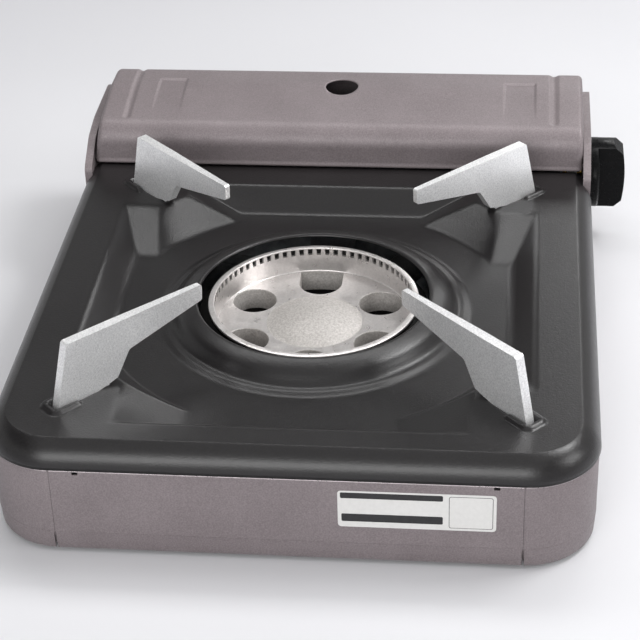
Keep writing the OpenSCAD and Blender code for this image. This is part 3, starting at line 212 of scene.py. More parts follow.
lead_cover = grained("lead_cover", srgb(26, 26, 27), srgb(36, 36, 37), 0.55, 0.0, 900, 0.1, 0.03)
ceramic = grained("white_ceramic", srgb(228, 226, 220), srgb(238, 236, 230), 0.35, 0.0, 700, 0.05, 0.02)

FINISHES = {
    paint: "end_panel front_panel rear_panel outer_panel cartridge_cover",
    coating: "top_plate",
    silver: "support_front_left support_front_right support_rear_left support_rear_right",
    zinc: "base_pan partition burner_stand control_bracket igniter_clip cartridge_cradle",
    aluminium: "heat_panel mixing_tube",
    cast: "burner_bowl flame_ring regulator_cap",
    # near-black base finish, partly painted shade
    dark_cast_and_shade: "burner_base valve_body",
    brass: "nozzle spindle",
    rubber: "feet coupling_seal diaphragm",
    wire: "regulator_spring electrode_tip electrode_clip",
    magnet: "coupling_magnets",
    bright: "hinge_pins body_screws bracket_screws guide_pin",
    cam_plastic: "ignition_cam",
    red_plastic: "igniter_body igniter_plunger",
    knob_plastic: "knob",
    dial_sheet: "dial_plate",
    lead_cover: "ignition_lead",
    ceramic: "electrode_insulator",
}
SOFT_EDGES = {
    "end_panel": 0.25, "front_panel": 0.25, "rear_panel": 0.25, "outer_panel": 0.25,
    "support_front_left": 0.55, "support_front_right": 0.55,
    "support_rear_left": 0.55, "support_rear_right": 0.55,
    "knob": 0.6, "dial_plate": 0.2, "flame_ring": 0.12, "feet": 0.3,
}


def soften(obj, width_mm, angle=28):
    """Welds coincident points, then rounds hard edges with a small bevel with hardened normals."""
    weld = obj.modifiers.new("weld", "WELD")
    weld.merge_threshold = 0.002 * MM
    bevel = obj.modifiers.new("bevel", "BEVEL")
    bevel.width = width_mm * MM
    bevel.segments = 2
    bevel.limit_method = "ANGLE"
    bevel.angle_limit = math.radians(angle)
    bevel.harden_normals = True
    bevel.use_clamp_overlap = True


for finish, names in FINISHES.items():
    for name in names.split():
        mesh = nodes[name].data
        mesh.materials.clear()
        mesh.materials.append(finish.m)
        if name in SOFT_EDGES:
            soften(nodes[name], SOFT_EDGES[name])


def fillet(a, b, c, radius, n):
    """Points of a corner a-b-c rounded with the given radius."""
    u, v = (a - b).normalized(), (c - b).normalized()
    half = u.angle(v) / 2
    centre = b + (u + v).normalized() * radius / math.sin(half)
    p0, p1 = b + u * radius / math.tan(half) - centre, b + v * radius / math.tan(half) - centre
    a0 = math.atan2(p0.y, p0.x)
    turn = (math.atan2(p1.y, p1.x) - a0 + math.pi) % (2 * math.pi) - math.pi
    angles = [a0 + turn * i / n for i in range(n + 1)]
    return [centre + radius * Vector((math.cos(a), math.sin(a))) for a in angles]


def add_mesh(name, verts, faces, finish, body, smooth=True):
    """A mesh piece from points in millimetres about the housing's own middle."""
    mesh = bpy.data.meshes.new(name)
    points = (np.asarray(verts, float) + np.array([0, PLAN_SHIFT, 0])) * MM
    mesh.from_pydata(points.tolist(), [], faces)
    mesh.materials.append(finish.m)
    if smooth:
        mesh.shade_smooth()
    else:
        mesh.shade_flat()
    obj = bpy.data.objects.new(name, mesh)
    bpy.context.scene.collection.objects.link(obj)
    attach(obj, body)
    return obj


# ---- Top plate ----

LEFT_X, PLATE_X1, HALF_D = -170.0, 93.4, 137.5
BURNER_X = -32.65
RIM_Z, WELL_DEPTH, SKIRT_Z = 58.5, 11.0, 46.6
SHOULDER_R, CORNER_R = 8.5, 33.0
BAND_R, SHOULDER_A0, SHOULDER_A1 = 14.0, math.radians(22), math.radians(86)
WELL_U0, WELL_U1, WELL_V, WELL_RUN = -115.85, 105.05, 108.0, 11.5
PAD_FAR, PAD_NEAR = (119.2, 21.8), (115.5, 12.5)
RAMP_U, RAMP_U_RUN = 80.5, 34.5
RAMP_FAR, RAMP_NEAR = (76.5, 27.5), (79.5, 31.0)
FOOT_AT, FOOT_ARC_R, FOOT_LOW_Z = 148.6, 105.1, 56.2
TROUGH_END, TROUGH_HALF = 151.4, 3.0
NOTCH_X, CUT_DROP = 83.4, 3  # beside the cover the shoulder ends after this many rows


def soft_min(a, b, k):
    h = np.clip(1 - np.abs(a - b) / k, 0, None)
    return np.minimum(a, b) - h * h * k / 4


def soft_max(a, b, k):
    return -soft_min(-np.asarray(a), -np.asarray(b), k)


def plate_height(u, v):
    """Height of the plate's upper face at a point about the burner's axis, inside the shoulder."""
    a, b = np.abs(u), np.abs(v)
    radius = np.hypot(u, v)
    inside = soft_min(soft_min(u - WELL_U0, WELL_U1 - u, 6), WELL_V - b, 6)
    well = RIM_Z - WELL_DEPTH * inside / WELL_RUN
    well = soft_min(np.full_like(well, RIM_Z), well, 1.8)
    well = soft_max(well, RIM_Z - WELL_DEPTH, 2.4)
    near = u < 0
    pad_top, pad_run = np.where(near, PAD_NEAR[0], PAD_FAR[0]), np.where(near, PAD_NEAR[1], PAD_FAR[1])
    ramp_top, ramp_run = np.where(near, RAMP_NEAR[0], RAMP_FAR[0]), np.where(near, RAMP_NEAR[1], RAMP_FAR[1])
    pad = RIM_Z - WELL_DEPTH * (pad_top - radius) / pad_run
    pad = soft_min(pad, RIM_Z - WELL_DEPTH * (RAMP_U - a) / RAMP_U_RUN, 0.7)
    pad = soft_min(pad, RIM_Z - WELL_DEPTH * (ramp_top - b) / ramp_run, 0.7)
    pad = soft_min(pad, RIM_Z, 0.8)
    z = soft_max(well, pad, np.clip((RIM_Z - well) * 0.5, 0.01, 0.9))
    z = soft_max(z, ring_height(radius), 1.6)
    return press_troughs(z, u, v)


# Section of the ring round the opening: radius from the burner's axis, height
RING = [(56.8, 55.6), (57.0, 56.2), (57.5, 56.7), (58.2, 56.85), (59.2, 56.6), (61.5, 55.9), (64.0, 54.9),
        (65.6, 54.1), (67.0, 52.9), (68.4, 51.2), (70.0, 49.7), (71.1, 49.0), (72.4, 48.8), (73.7, 48.7),
        (74.8, 48.2), (76.1, 47.4), (78.0, 45.0)]


def ring_height(radius):
    ring = np.array(RING)
    return np.where(radius > ring[-1, 0], 40.0, np.interp(radius, ring[:, 0], ring[:, 1]))


BEAD_R, BEAD_HALF, BEAD_END, BEAD_START = 1.9, 4.9, 153.3, 141.4


def press_troughs(z, u, v):
    """Foot troughs on the diagonals, each with a bead pressed up round its outer end."""
    for k in range(4):
        angle = math.radians(45 + 90 * k)
        along = u * math.cos(angle) + v * math.sin(angle)
        across = np.abs(v * math.cos(angle) - u * math.sin(angle))
        arc = FOOT_LOW_Z + FOOT_ARC_R - np.sqrt(np.clip(FOOT_ARC_R ** 2 - (along - FOOT_AT) ** 2, 1, None))
        wall = np.clip(across - TROUGH_HALF + 0.5, 0, None)
        end = np.clip(along - TROUGH_END + 0.5, 0, None)
        near = along > 110
        side_push = 3.4 * (wall + end)
        z = np.where(near, soft_min(z, arc + side_push, 0.7), z)
        straight = np.abs(across - BEAD_HALF)
        cap = np.hypot(np.clip(BEAD_START - along, 0, None), straight)
        corner = np.hypot(along - (BEAD_END - 2), across - (BEAD_HALF - 2)) - 2
        outer = np.where((along > BEAD_END - 2) & (across > BEAD_HALF - 2), np.abs(corner), cap)
        outer = np.where((along > BEAD_END - 2) & (across <= BEAD_HALF - 2), np.abs(along - BEAD_END), outer)
        bead = RIM_Z - 0.3 + np.sqrt(np.clip(BEAD_R ** 2 - outer ** 2, 0, None))
        z = np.where((outer < BEAD_R) & near, soft_max(z, bead, 0.5), z)
    return z


def outline_hit(angle):
    """Where a ray from the burner's axis meets the start of the shoulder, and the way out there."""
    x0, x1, half, r = LEFT_X + SHOULDER_R, PLATE_X1, HALF_D - SHOULDER_R, CORNER_R - SHOULDER_R
    c, s = math.cos(angle), math.sin(angle)
    reach = 1e9
    out = (0.0, 0.0)
    if c > 1e-9 and (x1 - BURNER_X) / c < reach:
        reach, out = (x1 - BURNER_X) / c, (1.0, 0.0)
    if c < -1e-9 and (x0 - BURNER_X) / c < reach:
        reach, out = (x0 - BURNER_X) / c, (-1.0, 0.0)
    if abs(s) > 1e-9 and half / abs(s) < reach - 1e-9:
        reach, out = half / abs(s), (0.0, math.copysign(1, s))
    px, py = BURNER_X + c * reach, s * reach
    cx, cy = x0 + r, math.copysign(half - r, s)
    if px < cx and abs(py) > half - r:
        dx, dy = BURNER_X - cx, -cy
        b = dx * c + dy * s
        reach = -b + math.sqrt(b * b - dx * dx - dy * dy + r * r)
        px, py = BURNER_X + c * reach, s * reach
        out = ((px - cx) / r, (py - cy) / r)
    return px, py, out, reach


def plate_angles():
    """Directions of the plate's columns: finer over the troughs, exact at the corners by the cover."""
    around = 514
    special = {round(math.degrees(math.atan2(side * (HALF_D - SHOULDER_R), x - BURNER_X)) % 360, 4)
               for side in (-1, 1) for x in (NOTCH_X, PLATE_X1)}
    fine = {round((45 + 90 * k + j * 0.25) % 360, 4) for k in range(4) for j in range(-26, 27)}
    marks = sorted({round(k * 360 / around, 4) for k in range(around)} | fine | special)
    keep = [marks[0]]
    for m in marks[1:]:
        if m - keep[-1] < 0.12:
            if m in special:
                keep[-1] = m
            continue
        keep.append(m)
    return [math.radians(m) for m in keep]


def make_plate():
    angles = plate_angles()
    inner = [56.8, 56.9, 57.1, 57.4, 57.8, 58.4, 59.2, 60.4, 61.8, 63.4, 65.0, 66.2, 67.2, 68.2, 69.2, 70.2,
             71.0, 72.0, 73.0, 73.9, 74.6, 75.4, 76.2, 77.2, 78.6, 80.5, 83.0]
    outer_rows = 104
    drops = []
    for k in range(9):
        t = SHOULDER_A0 + (SHOULDER_A1 - SHOULDER_A0) * k / 8
        out_by = BAND_R * (math.sin(t) - math.sin(SHOULDER_A0))
        drops.append((out_by, BAND_R * (math.cos(SHOULDER_A0) - math.cos(t))))
    drops[0] = (0.12, 0.02)
    skirt = [(SHOULDER_R, z) for z in (SKIRT_Z + 0.25, SKIRT_Z)]
    u, v, z = [], [], []
    col_x, col_side = [], []
    for a in angles:
        px, py, out, reach = outline_hit(a)
        c, s = math.cos(a), math.sin(a)
        rs = inner + [83.0 + (reach - 83.0) * (j + 1) / outer_rows for j in range(outer_rows)]
        us, vs = [c * r for r in rs], [s * r for r in rs]
        zs = list(plate_height(np.array(us), np.array(vs)))
        col_x.append(px)
        right = out == (1.0, 0.0)
        col_side.append(right)
        edge_z = zs[-1]
        bx, by = us[-1], vs[-1]
        if right:
            for dz in [0.0] * (len(drops) - 4) + [-0.15, -0.5, -1.2, -2.0, -3.5, -5.0]:
                us.append(bx)
                vs.append(by)
                zs.append(edge_z + dz)
        else:
            for d, drop in drops:
                us.append(bx + out[0] * d)
                vs.append(by + out[1] * d)
                zs.append(edge_z - drop)
            for d, zz in skirt:
                us.append(bx + out[0] * d)
                vs.append(by + out[1] * d)
                zs.append(zz)
        u.append(us)
        v.append(vs)
        z.append(zs)
    rows = len(u[0])
    cols = len(angles)
    verts = [(BURNER_X + u[i][j], v[i][j], z[i][j]) for i in range(cols) for j in range(rows)]
    cut_row = len(inner) + outer_rows + CUT_DROP
    faces = []
    for i in range(cols):
        n = (i + 1) % cols
        for j in range(rows - 1):
            front = not (col_side[i] and col_side[n])
            x0, x1 = sorted((col_x[i], col_x[n]))
            if front and x0 > NOTCH_X - 0.05 and x1 > NOTCH_X + 0.05 and j >= cut_row:
                continue
            faces.append((i * rows + j, i * rows + j + 1, n * rows + j + 1, n * rows + j))
    obj = add_mesh("plate_skin", verts, faces, coating, "plate")
    clean = bmesh.new()
    clean.from_mesh(obj.data)
    bmesh.ops.remove_doubles(clean, verts=clean.verts, dist=0.01 * MM)
    bmesh.ops.dissolve_degenerate(clean, edges=clean.edges, dist=0.01 * MM)
    bmesh.ops.recalc_face_normals(clean, faces=clean.faces)
    clean.to_mesh(obj.data)
    clean.free()
    top = max(obj.data.polygons, key=lambda p: p.area if p.center[2] > 0.05 else 0)
    if top.normal[2] < 0:
        obj.data.flip_normals()
    thick = obj.modifiers.new("thickness", "SOLIDIFY")
    thick.thickness = PLATE_SHEET * MM
    thick.offset = -1
    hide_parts("top_plate")
    return obj


make_plate()

# ---- Burner ----

WALL_R, WALL_TOP_Z, FOOT_R, BOWL_Z = 48.8, 49.2, 47.9, 40.0
RIM_R, BURNER_Z = 51.8, 53.5
DOME_R, DOME_H = 23.3, 4.0
AIR_R, AIR_RING_R, AIR_TURN, AIR_EDGE = 10.75, 36.6, 0.5, 0.3
BORE_Z, BASE_Z = 29.0, 23.8
SLOTS, SLOT_TOP, SLOT_FOOT, SLOT_Z0, SLOT_Z1 = 70, 2.6, 2.0, 49.5, 52.8


def turned(name, profile, finish, columns=192, smooth=True, body="stove"):
    """A surface of revolution about the burner's axis from (radius, height) points."""
    verts, faces = [], []
    n = len(profile)
    for k in range(columns):
        a = 2 * math.pi * k / columns
        verts += [(BURNER_X + r * math.cos(a), r * math.sin(a), z) for r, z in profile]
    for k in range(columns):
        m = (k + 1) % columns
        faces += [(k * n + j, m * n + j, m * n + j + 1, k * n + j + 1) for j in range(n - 1)]
    return add_mesh(name, verts, faces, finish, body, smooth)


def curve(points, radius, n=5):
    """A path with its one inner corner rounded."""
    a, b, c = (Vector(q) for q in points)
    return [tuple(q) for q in fillet(a, b, c, radius, n)]


def in_hole(x, y):
    """Whether a floor point lies in an air hole, and the nearest point on that hole's edge."""
    for k in range(6):
        t = math.radians(60 * k + AIR_TURN)
        along = x * math.cos(t) + y * math.sin(t) - AIR_RING_R
        across = y * math.cos(t) - x * math.sin(t)
        edge = AIR_R + AIR_EDGE
        if k == 0 and along > 0:
            side = math.copysign(edge, across)
            near = (x - (across - side) * -math.sin(t), y - (across - side) * math.cos(t))
            if abs(across) < edge + 2:
                return abs(across) < edge, near
        elif math.hypot(along, across) < edge + 2:
            d = math.hypot(along, across)
            u, v = AIR_RING_R + along * edge / d, across * edge / d
            near = (u * math.cos(t) - v * math.sin(t), u * math.sin(t) + v * math.cos(t))
            return d < edge, near
    return False, None


def make_bowl_floor():
    columns = 540
    radii = [DOME_R + 0.4 + (FOOT_R - DOME_R - 0.4) * j / 44 for j in range(45)]
    verts = []
    for k in range(columns):
        t = 2 * math.pi * k / columns
        verts += [(r * math.cos(t), r * math.sin(t), BOWL_Z) for r in radii]
    n = len(radii)
    kept, cut = [], set()
    for k in range(columns):
        m = (k + 1) % columns
        for j in range(n - 1):
            face = (k * n + j, m * n + j, m * n + j + 1, k * n + j + 1)
            cx = sum(verts[i][0] for i in face) / 4
            cy = sum(verts[i][1] for i in face) / 4
            if in_hole(cx, cy)[0]:
                cut.update(face)
            else:
                kept.append(face)
    for i in cut & {i for face in kept for i in face}:
        near = in_hole(verts[i][0], verts[i][1])[1]
        if near and i % n < n - 1:
            verts[i] = (*near, BOWL_Z)
    verts = [(BURNER_X + x, y, z) for x, y, z in verts]
    return add_mesh("bowl_floor", verts, kept, turned_metal, "stove")


def hole_outline(k, radius, points=72):
    """Outline of an air hole; the first one runs straight out to the bowl's wall."""
    t = math.radians(60 * k + AIR_TURN)
    out = []
    for i in range(points):
        a = 2 * math.pi * i / points
        u, v = AIR_RING_R + radius * math.cos(a), radius * math.sin(a)
        if k == 0 and u > AIR_RING_R:
            if abs(a - math.pi) > math.pi / 2 and abs(v) > radius * 0.35:
                v = math.copysign(radius, v)
            else:
                v = v / 0.35
            reach = math.sqrt((FOOT_R + 0.3) ** 2 - v * v)
            steep = abs(math.sin(a))
            u = reach if steep < 0.7 else AIR_RING_R + (reach - AIR_RING_R) * (1 - steep) / 0.3
        out.append((BURNER_X + u * math.cos(t) - v * math.sin(t), u * math.sin(t) + v * math.cos(t)))
    return out


def make_bores():
    """Walls of the air holes: the bowl's own down to its foot, then the burner base's."""
    edge = [(AIR_R + AIR_EDGE, BOWL_Z), (AIR_R + 0.09, BOWL_Z - 0.12), (AIR_R, BOWL_Z - 0.4)]
    for name, levels, finish in (
        ("bores", edge + [(AIR_R, BORE_Z)], sand_cast),
        ("bore_ends", [(AIR_R, BORE_Z), (AIR_R, BASE_Z)], dark_cast_and_shade),
    ):
        verts, faces = [], []
        for k in range(6):
            start = len(verts)
            rings = [hole_outline(k, radius) for radius, z in levels]
            count = len(rings[0])
            for ring, (radius, z) in zip(rings, levels):
                verts += [(x, y, z) for x, y in ring]
            for j in range(len(levels) - 1):
                for i in range(count):
                    m = (i + 1) % count
                    a, b = start + j * count, start + (j + 1) * count
                    faces.append((a + i, b + i, b + m, a + m))
        add_mesh(name, verts, faces, finish, "stove")


def make_slot_band():
    """Upper wall of the flame ring with its row of slots, which taper downwards."""
    pitch = 2 * math.pi / SLOTS
    levels = [WALL_TOP_Z - 0.3, SLOT_Z0, SLOT_Z1, BURNER_Z - 0.35]
    verts, faces = [], []

    def at(angle, r, z):
        verts.append((BURNER_X + r * math.cos(angle), r * math.sin(angle), z))
        return len(verts) - 1

    for k in range(SLOTS):
        mid = pitch * (k + 0.5)
        top, foot = SLOT_TOP / 2 / WALL_R, SLOT_FOOT / 2 / WALL_R
        spans = [foot, foot, top, top]
        grid = []
        for w, z in zip(spans, levels):
            grid.append([at(mid + d, WALL_R, z) for d in (-pitch / 2, -w, w, pitch / 2)])
        for j in range(3):
            for i in range(3):
                if (i, j) != (1, 1):
                    faces.append((grid[j][i], grid[j][i + 1], grid[j + 1][i + 1], grid[j + 1][i]))
        deep = WALL_R + 1.38
        loop = [(mid - foot, SLOT_Z0), (mid + foot, SLOT_Z0), (mid + top, SLOT_Z1), (mid - top, SLOT_Z1)]
        for (a0, z0), (a1, z1) in zip(loop, loop[1:] + loop[:1]):
            faces.append((at(a0, WALL_R, z0), at(a1, WALL_R, z1), at(a1, deep, z1), at(a0, deep, z0)))
    return add_mesh("slot_band", verts, faces, turned_metal, "stove")


def make_burner():
    rim = [(RIM_R - 0.3, BURNER_Z - 1.6), (RIM_R, BURNER_Z - 1.5), (RIM_R, BURNER_Z - 0.6)]
    rim += [(RIM_R - 0.4 + 0.4 * math.cos(t), BURNER_Z - 0.6 + 0.4 * math.sin(t))
            for t in [math.radians(15 * k) for k in range(1, 6)]]
    rim += [(WALL_R + 0.6, BURNER_Z)]
    rim += [(WALL_R + 0.35 - 0.35 * math.sin(t), BURNER_Z - 0.35 + 0.35 * math.cos(t))
            for t in [math.radians(15 * k) for k in range(1, 7)]]
    ring = turned("rim", rim, turned_metal)
    wall = [(WALL_R, WALL_TOP_Z), (WALL_R - 0.1, 46.0), (WALL_R - 0.2, 43.0)]
    wall += curve([(WALL_R - 0.2, 43.0), (WALL_R - 0.25, BOWL_Z), (FOOT_R, BOWL_Z)], 0.6)
    side = turned("bowl_wall", wall, turned_metal)
    ball = (DOME_R ** 2 + DOME_H ** 2) / (2 * DOME_H)
    rise = math.asin(DOME_R / ball)
    dome = []
    for j in range(16):
        t = rise * (1 - j / 16)
        dome.append((ball * math.sin(t), BOWL_Z + DOME_H - ball + ball * math.cos(t)))
    dome = [(DOME_R + 0.42, BOWL_Z), (DOME_R + 0.2, BOWL_Z + 0.02)] + dome[1:] + [(0.01, BOWL_Z + DOME_H)]
    cap = turned("bowl_dome", dome, sand_cast)
    floor = make_bowl_floor()
    make_bores()
    band = make_slot_band()
    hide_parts("burner_bowl")
    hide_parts("flame_ring")


# ---- Wall trim ----

WALL_X0, WALL_X1, WALL_HALF, WALL_R0, WALL_R1 = -169.5, 170.0, 137.0, 33.0, 4.0
CREASE_Z, WALL_LOW_Z, WALL_HIGH_Z = 12.0, 2.2, 46.2
SEAM_Y, SEAM_GAP, HEM_X = 104.5, 0.6, 82.0


def wall_plan():
    """Points and outward directions round the walls, walked the same way throughout."""
    out = []
    arcs = [(WALL_X1 - WALL_R1, WALL_HALF - WALL_R1, WALL_R1, 0),
            (WALL_X0 + WALL_R0, WALL_HALF - WALL_R0, WALL_R0, 90),
            (WALL_X0 + WALL_R0, WALL_R0 - WALL_HALF, WALL_R0, 180),
            (WALL_X1 - WALL_R1, WALL_R1 - WALL_HALF, WALL_R1, 270)]
    for cx, cy, r, start in arcs:
        for k in range(25):
            t = math.radians(start + 90 * k / 24)
            way = Vector((math.cos(t), math.sin(t)))
            out.append((Vector((cx + r * math.cos(t), cy + r * math.sin(t))), way))
    return out


def wall_run(points, closed=True):
    """The walk split at both seams of the wall at the burner's end."""
    pieces, current = [], []
    n = len(points)
    for i in range(n):
        a, b = points[i], points[(i + 1) % n]
        current.append(a)
        if a[0].x < WALL_X0 + 1 and b[0].x < WALL_X0 + 1:
            for y in (SEAM_Y, -SEAM_Y):
                if a[0].y > y > b[0].y:
                    current.append((Vector((a[0].x, y + SEAM_GAP)), a[1]))
                    pieces.append(current)
                    current = [(Vector((a[0].x, y - SEAM_GAP)), a[1])]
    if closed:
        pieces[0] = current + pieces[0]
        return pieces
    return pieces + [current]


def sweep_trim(name, pieces, profile, finish):
    verts, faces = [], []
    for piece in pieces:
        base, m = len(verts), len(profile)
        for p, out in piece:
            verts += [(p.x + out.x * d, p.y + out.y * d, z) for d, z in profile]
        for i in range(len(piece) - 1):
            for j in range(m):
                a, b = base + i * m + j, base + i * m + (j + 1) % m
                faces.append((a, b, b + m, a + m))
        faces.append(tuple(base + j for j in reversed(range(m))))
        faces.append(tuple(base + (len(piece) - 1) * m + j for j in range(m)))
    obj = add_mesh(name, verts, faces, finish, "stove")
    obj.data.set_sharp_from_angle(angle=math.radians(35))
    return obj


def make_trim():
    points = wall_plan()
    low = [(0.03, CREASE_Z), (-0.25, CREASE_Z - 4), (-0.6, WALL_LOW_Z + 0.8), (-0.9, WALL_LOW_Z + 0.15),
           (-1.5, WALL_LOW_Z), (-1.6, WALL_LOW_Z + 0.6), (-1.1, CREASE_Z - 4), (-0.7, CREASE_Z)]
    sweep_trim("wall_foot", wall_run(points), low, paint)
    round_edge = [(0.4 * math.cos(t), WALL_HIGH_Z - 0.35 + 0.4 * math.sin(t))
                  for t in [math.radians(-90 - 45 * k) for k in range(8)]]
    open_walk = [(Vector((HEM_X, WALL_HALF)), Vector((0, 1)))] + points[25:75]
    open_walk.append((Vector((HEM_X, -WALL_HALF)), Vector((0, -1))))
    # The rolled top edge is drawn in the lighter paint, a painted highlight.
    sweep_trim("wall_hem", wall_run(open_walk, closed=False), round_edge, edge_highlight_paint)


# ---- Label ----

LABEL_X, LABEL_Y, LABEL_Z, LABEL_W, LABEL_H = -169.5, -57.9, 31.0, 69.2, 19.6


def plate_sheet(name, s0, s1, t0, t1, proud, radius, finish):
    """A thin rounded sheet on the burner end, s to the right and t down from the label's corner."""
    outline = []
    for cx, cy, start in ((s1 - radius, t0 + radius, -90), (s1 - radius, t1 - radius, 0),
                          (s0 + radius, t1 - radius, 90), (s0 + radius, t0 + radius, 180)):
        for k in range(5):
            a = math.radians(start + 22.5 * k)
            outline.append((cx + radius * math.cos(a), cy + radius * math.sin(a)))
    y0, z0 = LABEL_Y + LABEL_W / 2, LABEL_Z + LABEL_H / 2
    n = len(outline)
    verts = [(LABEL_X - depth, y0 - sx, z0 - t) for depth in (proud, 0.0) for sx, t in outline]
    faces = [tuple(range(n))] + [(i, n + i, n + (i + 1) % n, (i + 1) % n) for i in range(n)]
    return add_mesh(name, verts, faces, finish, "stove", smooth=False)


def make_label():
    plate_sheet("label", 0, LABEL_W, 0, LABEL_H, 0.08, 1.6, label_white)
    plate_sheet("label_band_top", 1.2, 46.0, 0.9, 4.0, 0.1, 0.6, label_black)
    plate_sheet("label_band_low", 1.6, 46.0, 12.4, 16.6, 0.1, 0.6, label_black)
    plate_sheet("label_frame", 48.6, 67.8, 1.2, 18.4, 0.1, 1.0, label_black)
    plate_sheet("label_field", 48.85, 67.55, 1.45, 18.15, 0.12, 0.8, label_white)


# ---- Cartridge cover ----

COVER_X, COVER_X1, COVER_HALF = 93.9, 170.0, 132.6
COVER_Z, COVER_LOW_Z, COVER_REAR_Z = 86.0, 58.9, 48.6
HINGE_X, HINGE_Z, EAR_R = 164.0, 53.6, 5.0
HOLE_X, HOLE_R = 138.4, 9.0
END_ROLL = 2.6
BEND_R = 11.5
END_LEAN = 2.2
GROOVE_Y, GROOVE_HALF, GROOVE_X0, GROOVE_DEPTH = 117.0, 3.2, 106.0, 1.0
POCKETS = [(86.9, 103.3), (-107.4, -89.2)]
POCKET_X0, POCKET_X1, POCKET_DEPTH, POCKET_WALL = 108.0, 146.0, 1.1, 1.3


def spread_points(points, step):
    """The same path with points added on its longer straights."""
    out = [points[0]]
    for a, b in zip(points, points[1:]):
        n = max(1, round((b - a).length / step))
        out += [a.lerp(b, i / n) for i in range(1, n + 1)]
    return out


def cover_rows():
    """Section of the cover from its rolled lower edge to the hinge, and the way out at each row."""
    hem = [Vector((COVER_X + 1.7, COVER_LOW_Z + 3.0)), Vector((COVER_X + 1.7, COVER_LOW_Z + 0.9))]
    bead = Vector((COVER_X + 0.65, COVER_LOW_Z + 1.05))
    for k in range(9):
        t = math.radians(-10 - 190 * k / 8)
        hem.append(bead + 1.05 * Vector((math.cos(t), math.sin(t))))
    hem += [Vector((COVER_X - 0.25, COVER_LOW_Z + 1.9)), Vector((COVER_X, COVER_LOW_Z + 2.7))]
    corners = [Vector(c) for c in ((COVER_X, COVER_Z - 5.8), (COVER_X + 44, COVER_Z + 0.2),
                                   (COVER_X1, COVER_Z - 1.2), (COVER_X1, COVER_REAR_Z))]
    top = fillet(hem[-1], corners[0], corners[1], BEND_R, 16)
    top += fillet(corners[0], corners[1], corners[2], 60.0, 10)
    top += fillet(corners[1], corners[2], corners[3], 16.0, 18)
    path = hem[:-1] + spread_points([hem[-1]] + top + [corners[3]], 0.8)
    rows = []
    for i, p in enumerate(path):
        along = (path[min(i + 1, len(path) - 1)] - path[max(i - 1, 0)]).normalized()
        out = Vector((-along.y, along.x)) if i >= len(hem) else Vector((-1.0, 0.0))
        rows.append((p, out))
    return rows


def cover_columns():
    ends = [(math.sin(t), 1 - math.cos(t)) for t in [math.radians(90 * k / 7) for k in range(7, -1, -1)]]
    ys = []
    edge = COVER_HALF - END_ROLL
    y = -edge
    while y < edge - 0.2:
        ys.append(y)
        near = abs(abs(y) - GROOVE_Y) < 6 or 85 < abs(y) < 109
        y += 0.55 if near else (0.75 if abs(y) < 13 else 2.4)
    ys.append(edge)
    left = [(-edge - END_ROLL * s, END_ROLL * d) for s, d in ends[:-1]]
    right = [(edge + END_ROLL * s, END_ROLL * d) for s, d in reversed(ends[:-1])]
    return left + [(y, 0.0) for y in ys] + right


def smooth_step(t):
    t = min(max(t, 0.0), 1.0)
    return t * t * (3 - 2 * t)


def cover_depth(x, y):
    """How far the cover's top is pressed in at a point."""
    depth = 0.0
    off = abs(y) - GROOVE_Y
    if x < GROOVE_X0:
        off = math.hypot(off, GROOVE_X0 - x)
    if abs(off) < GROOVE_HALF:
        depth = GROOVE_DEPTH * 0.5 * (1 + math.cos(math.pi * off / GROOVE_HALF))
    for y0, y1 in POCKETS:
        inside = min(y - y0, y1 - y, POCKET_X1 - x)
        if inside > 0 and x > POCKET_X0:
            floor = POCKET_DEPTH * (x - POCKET_X0) / (POCKET_X1 - POCKET_X0)
            depth = floor * smooth_step(inside / POCKET_WALL)
    return depth


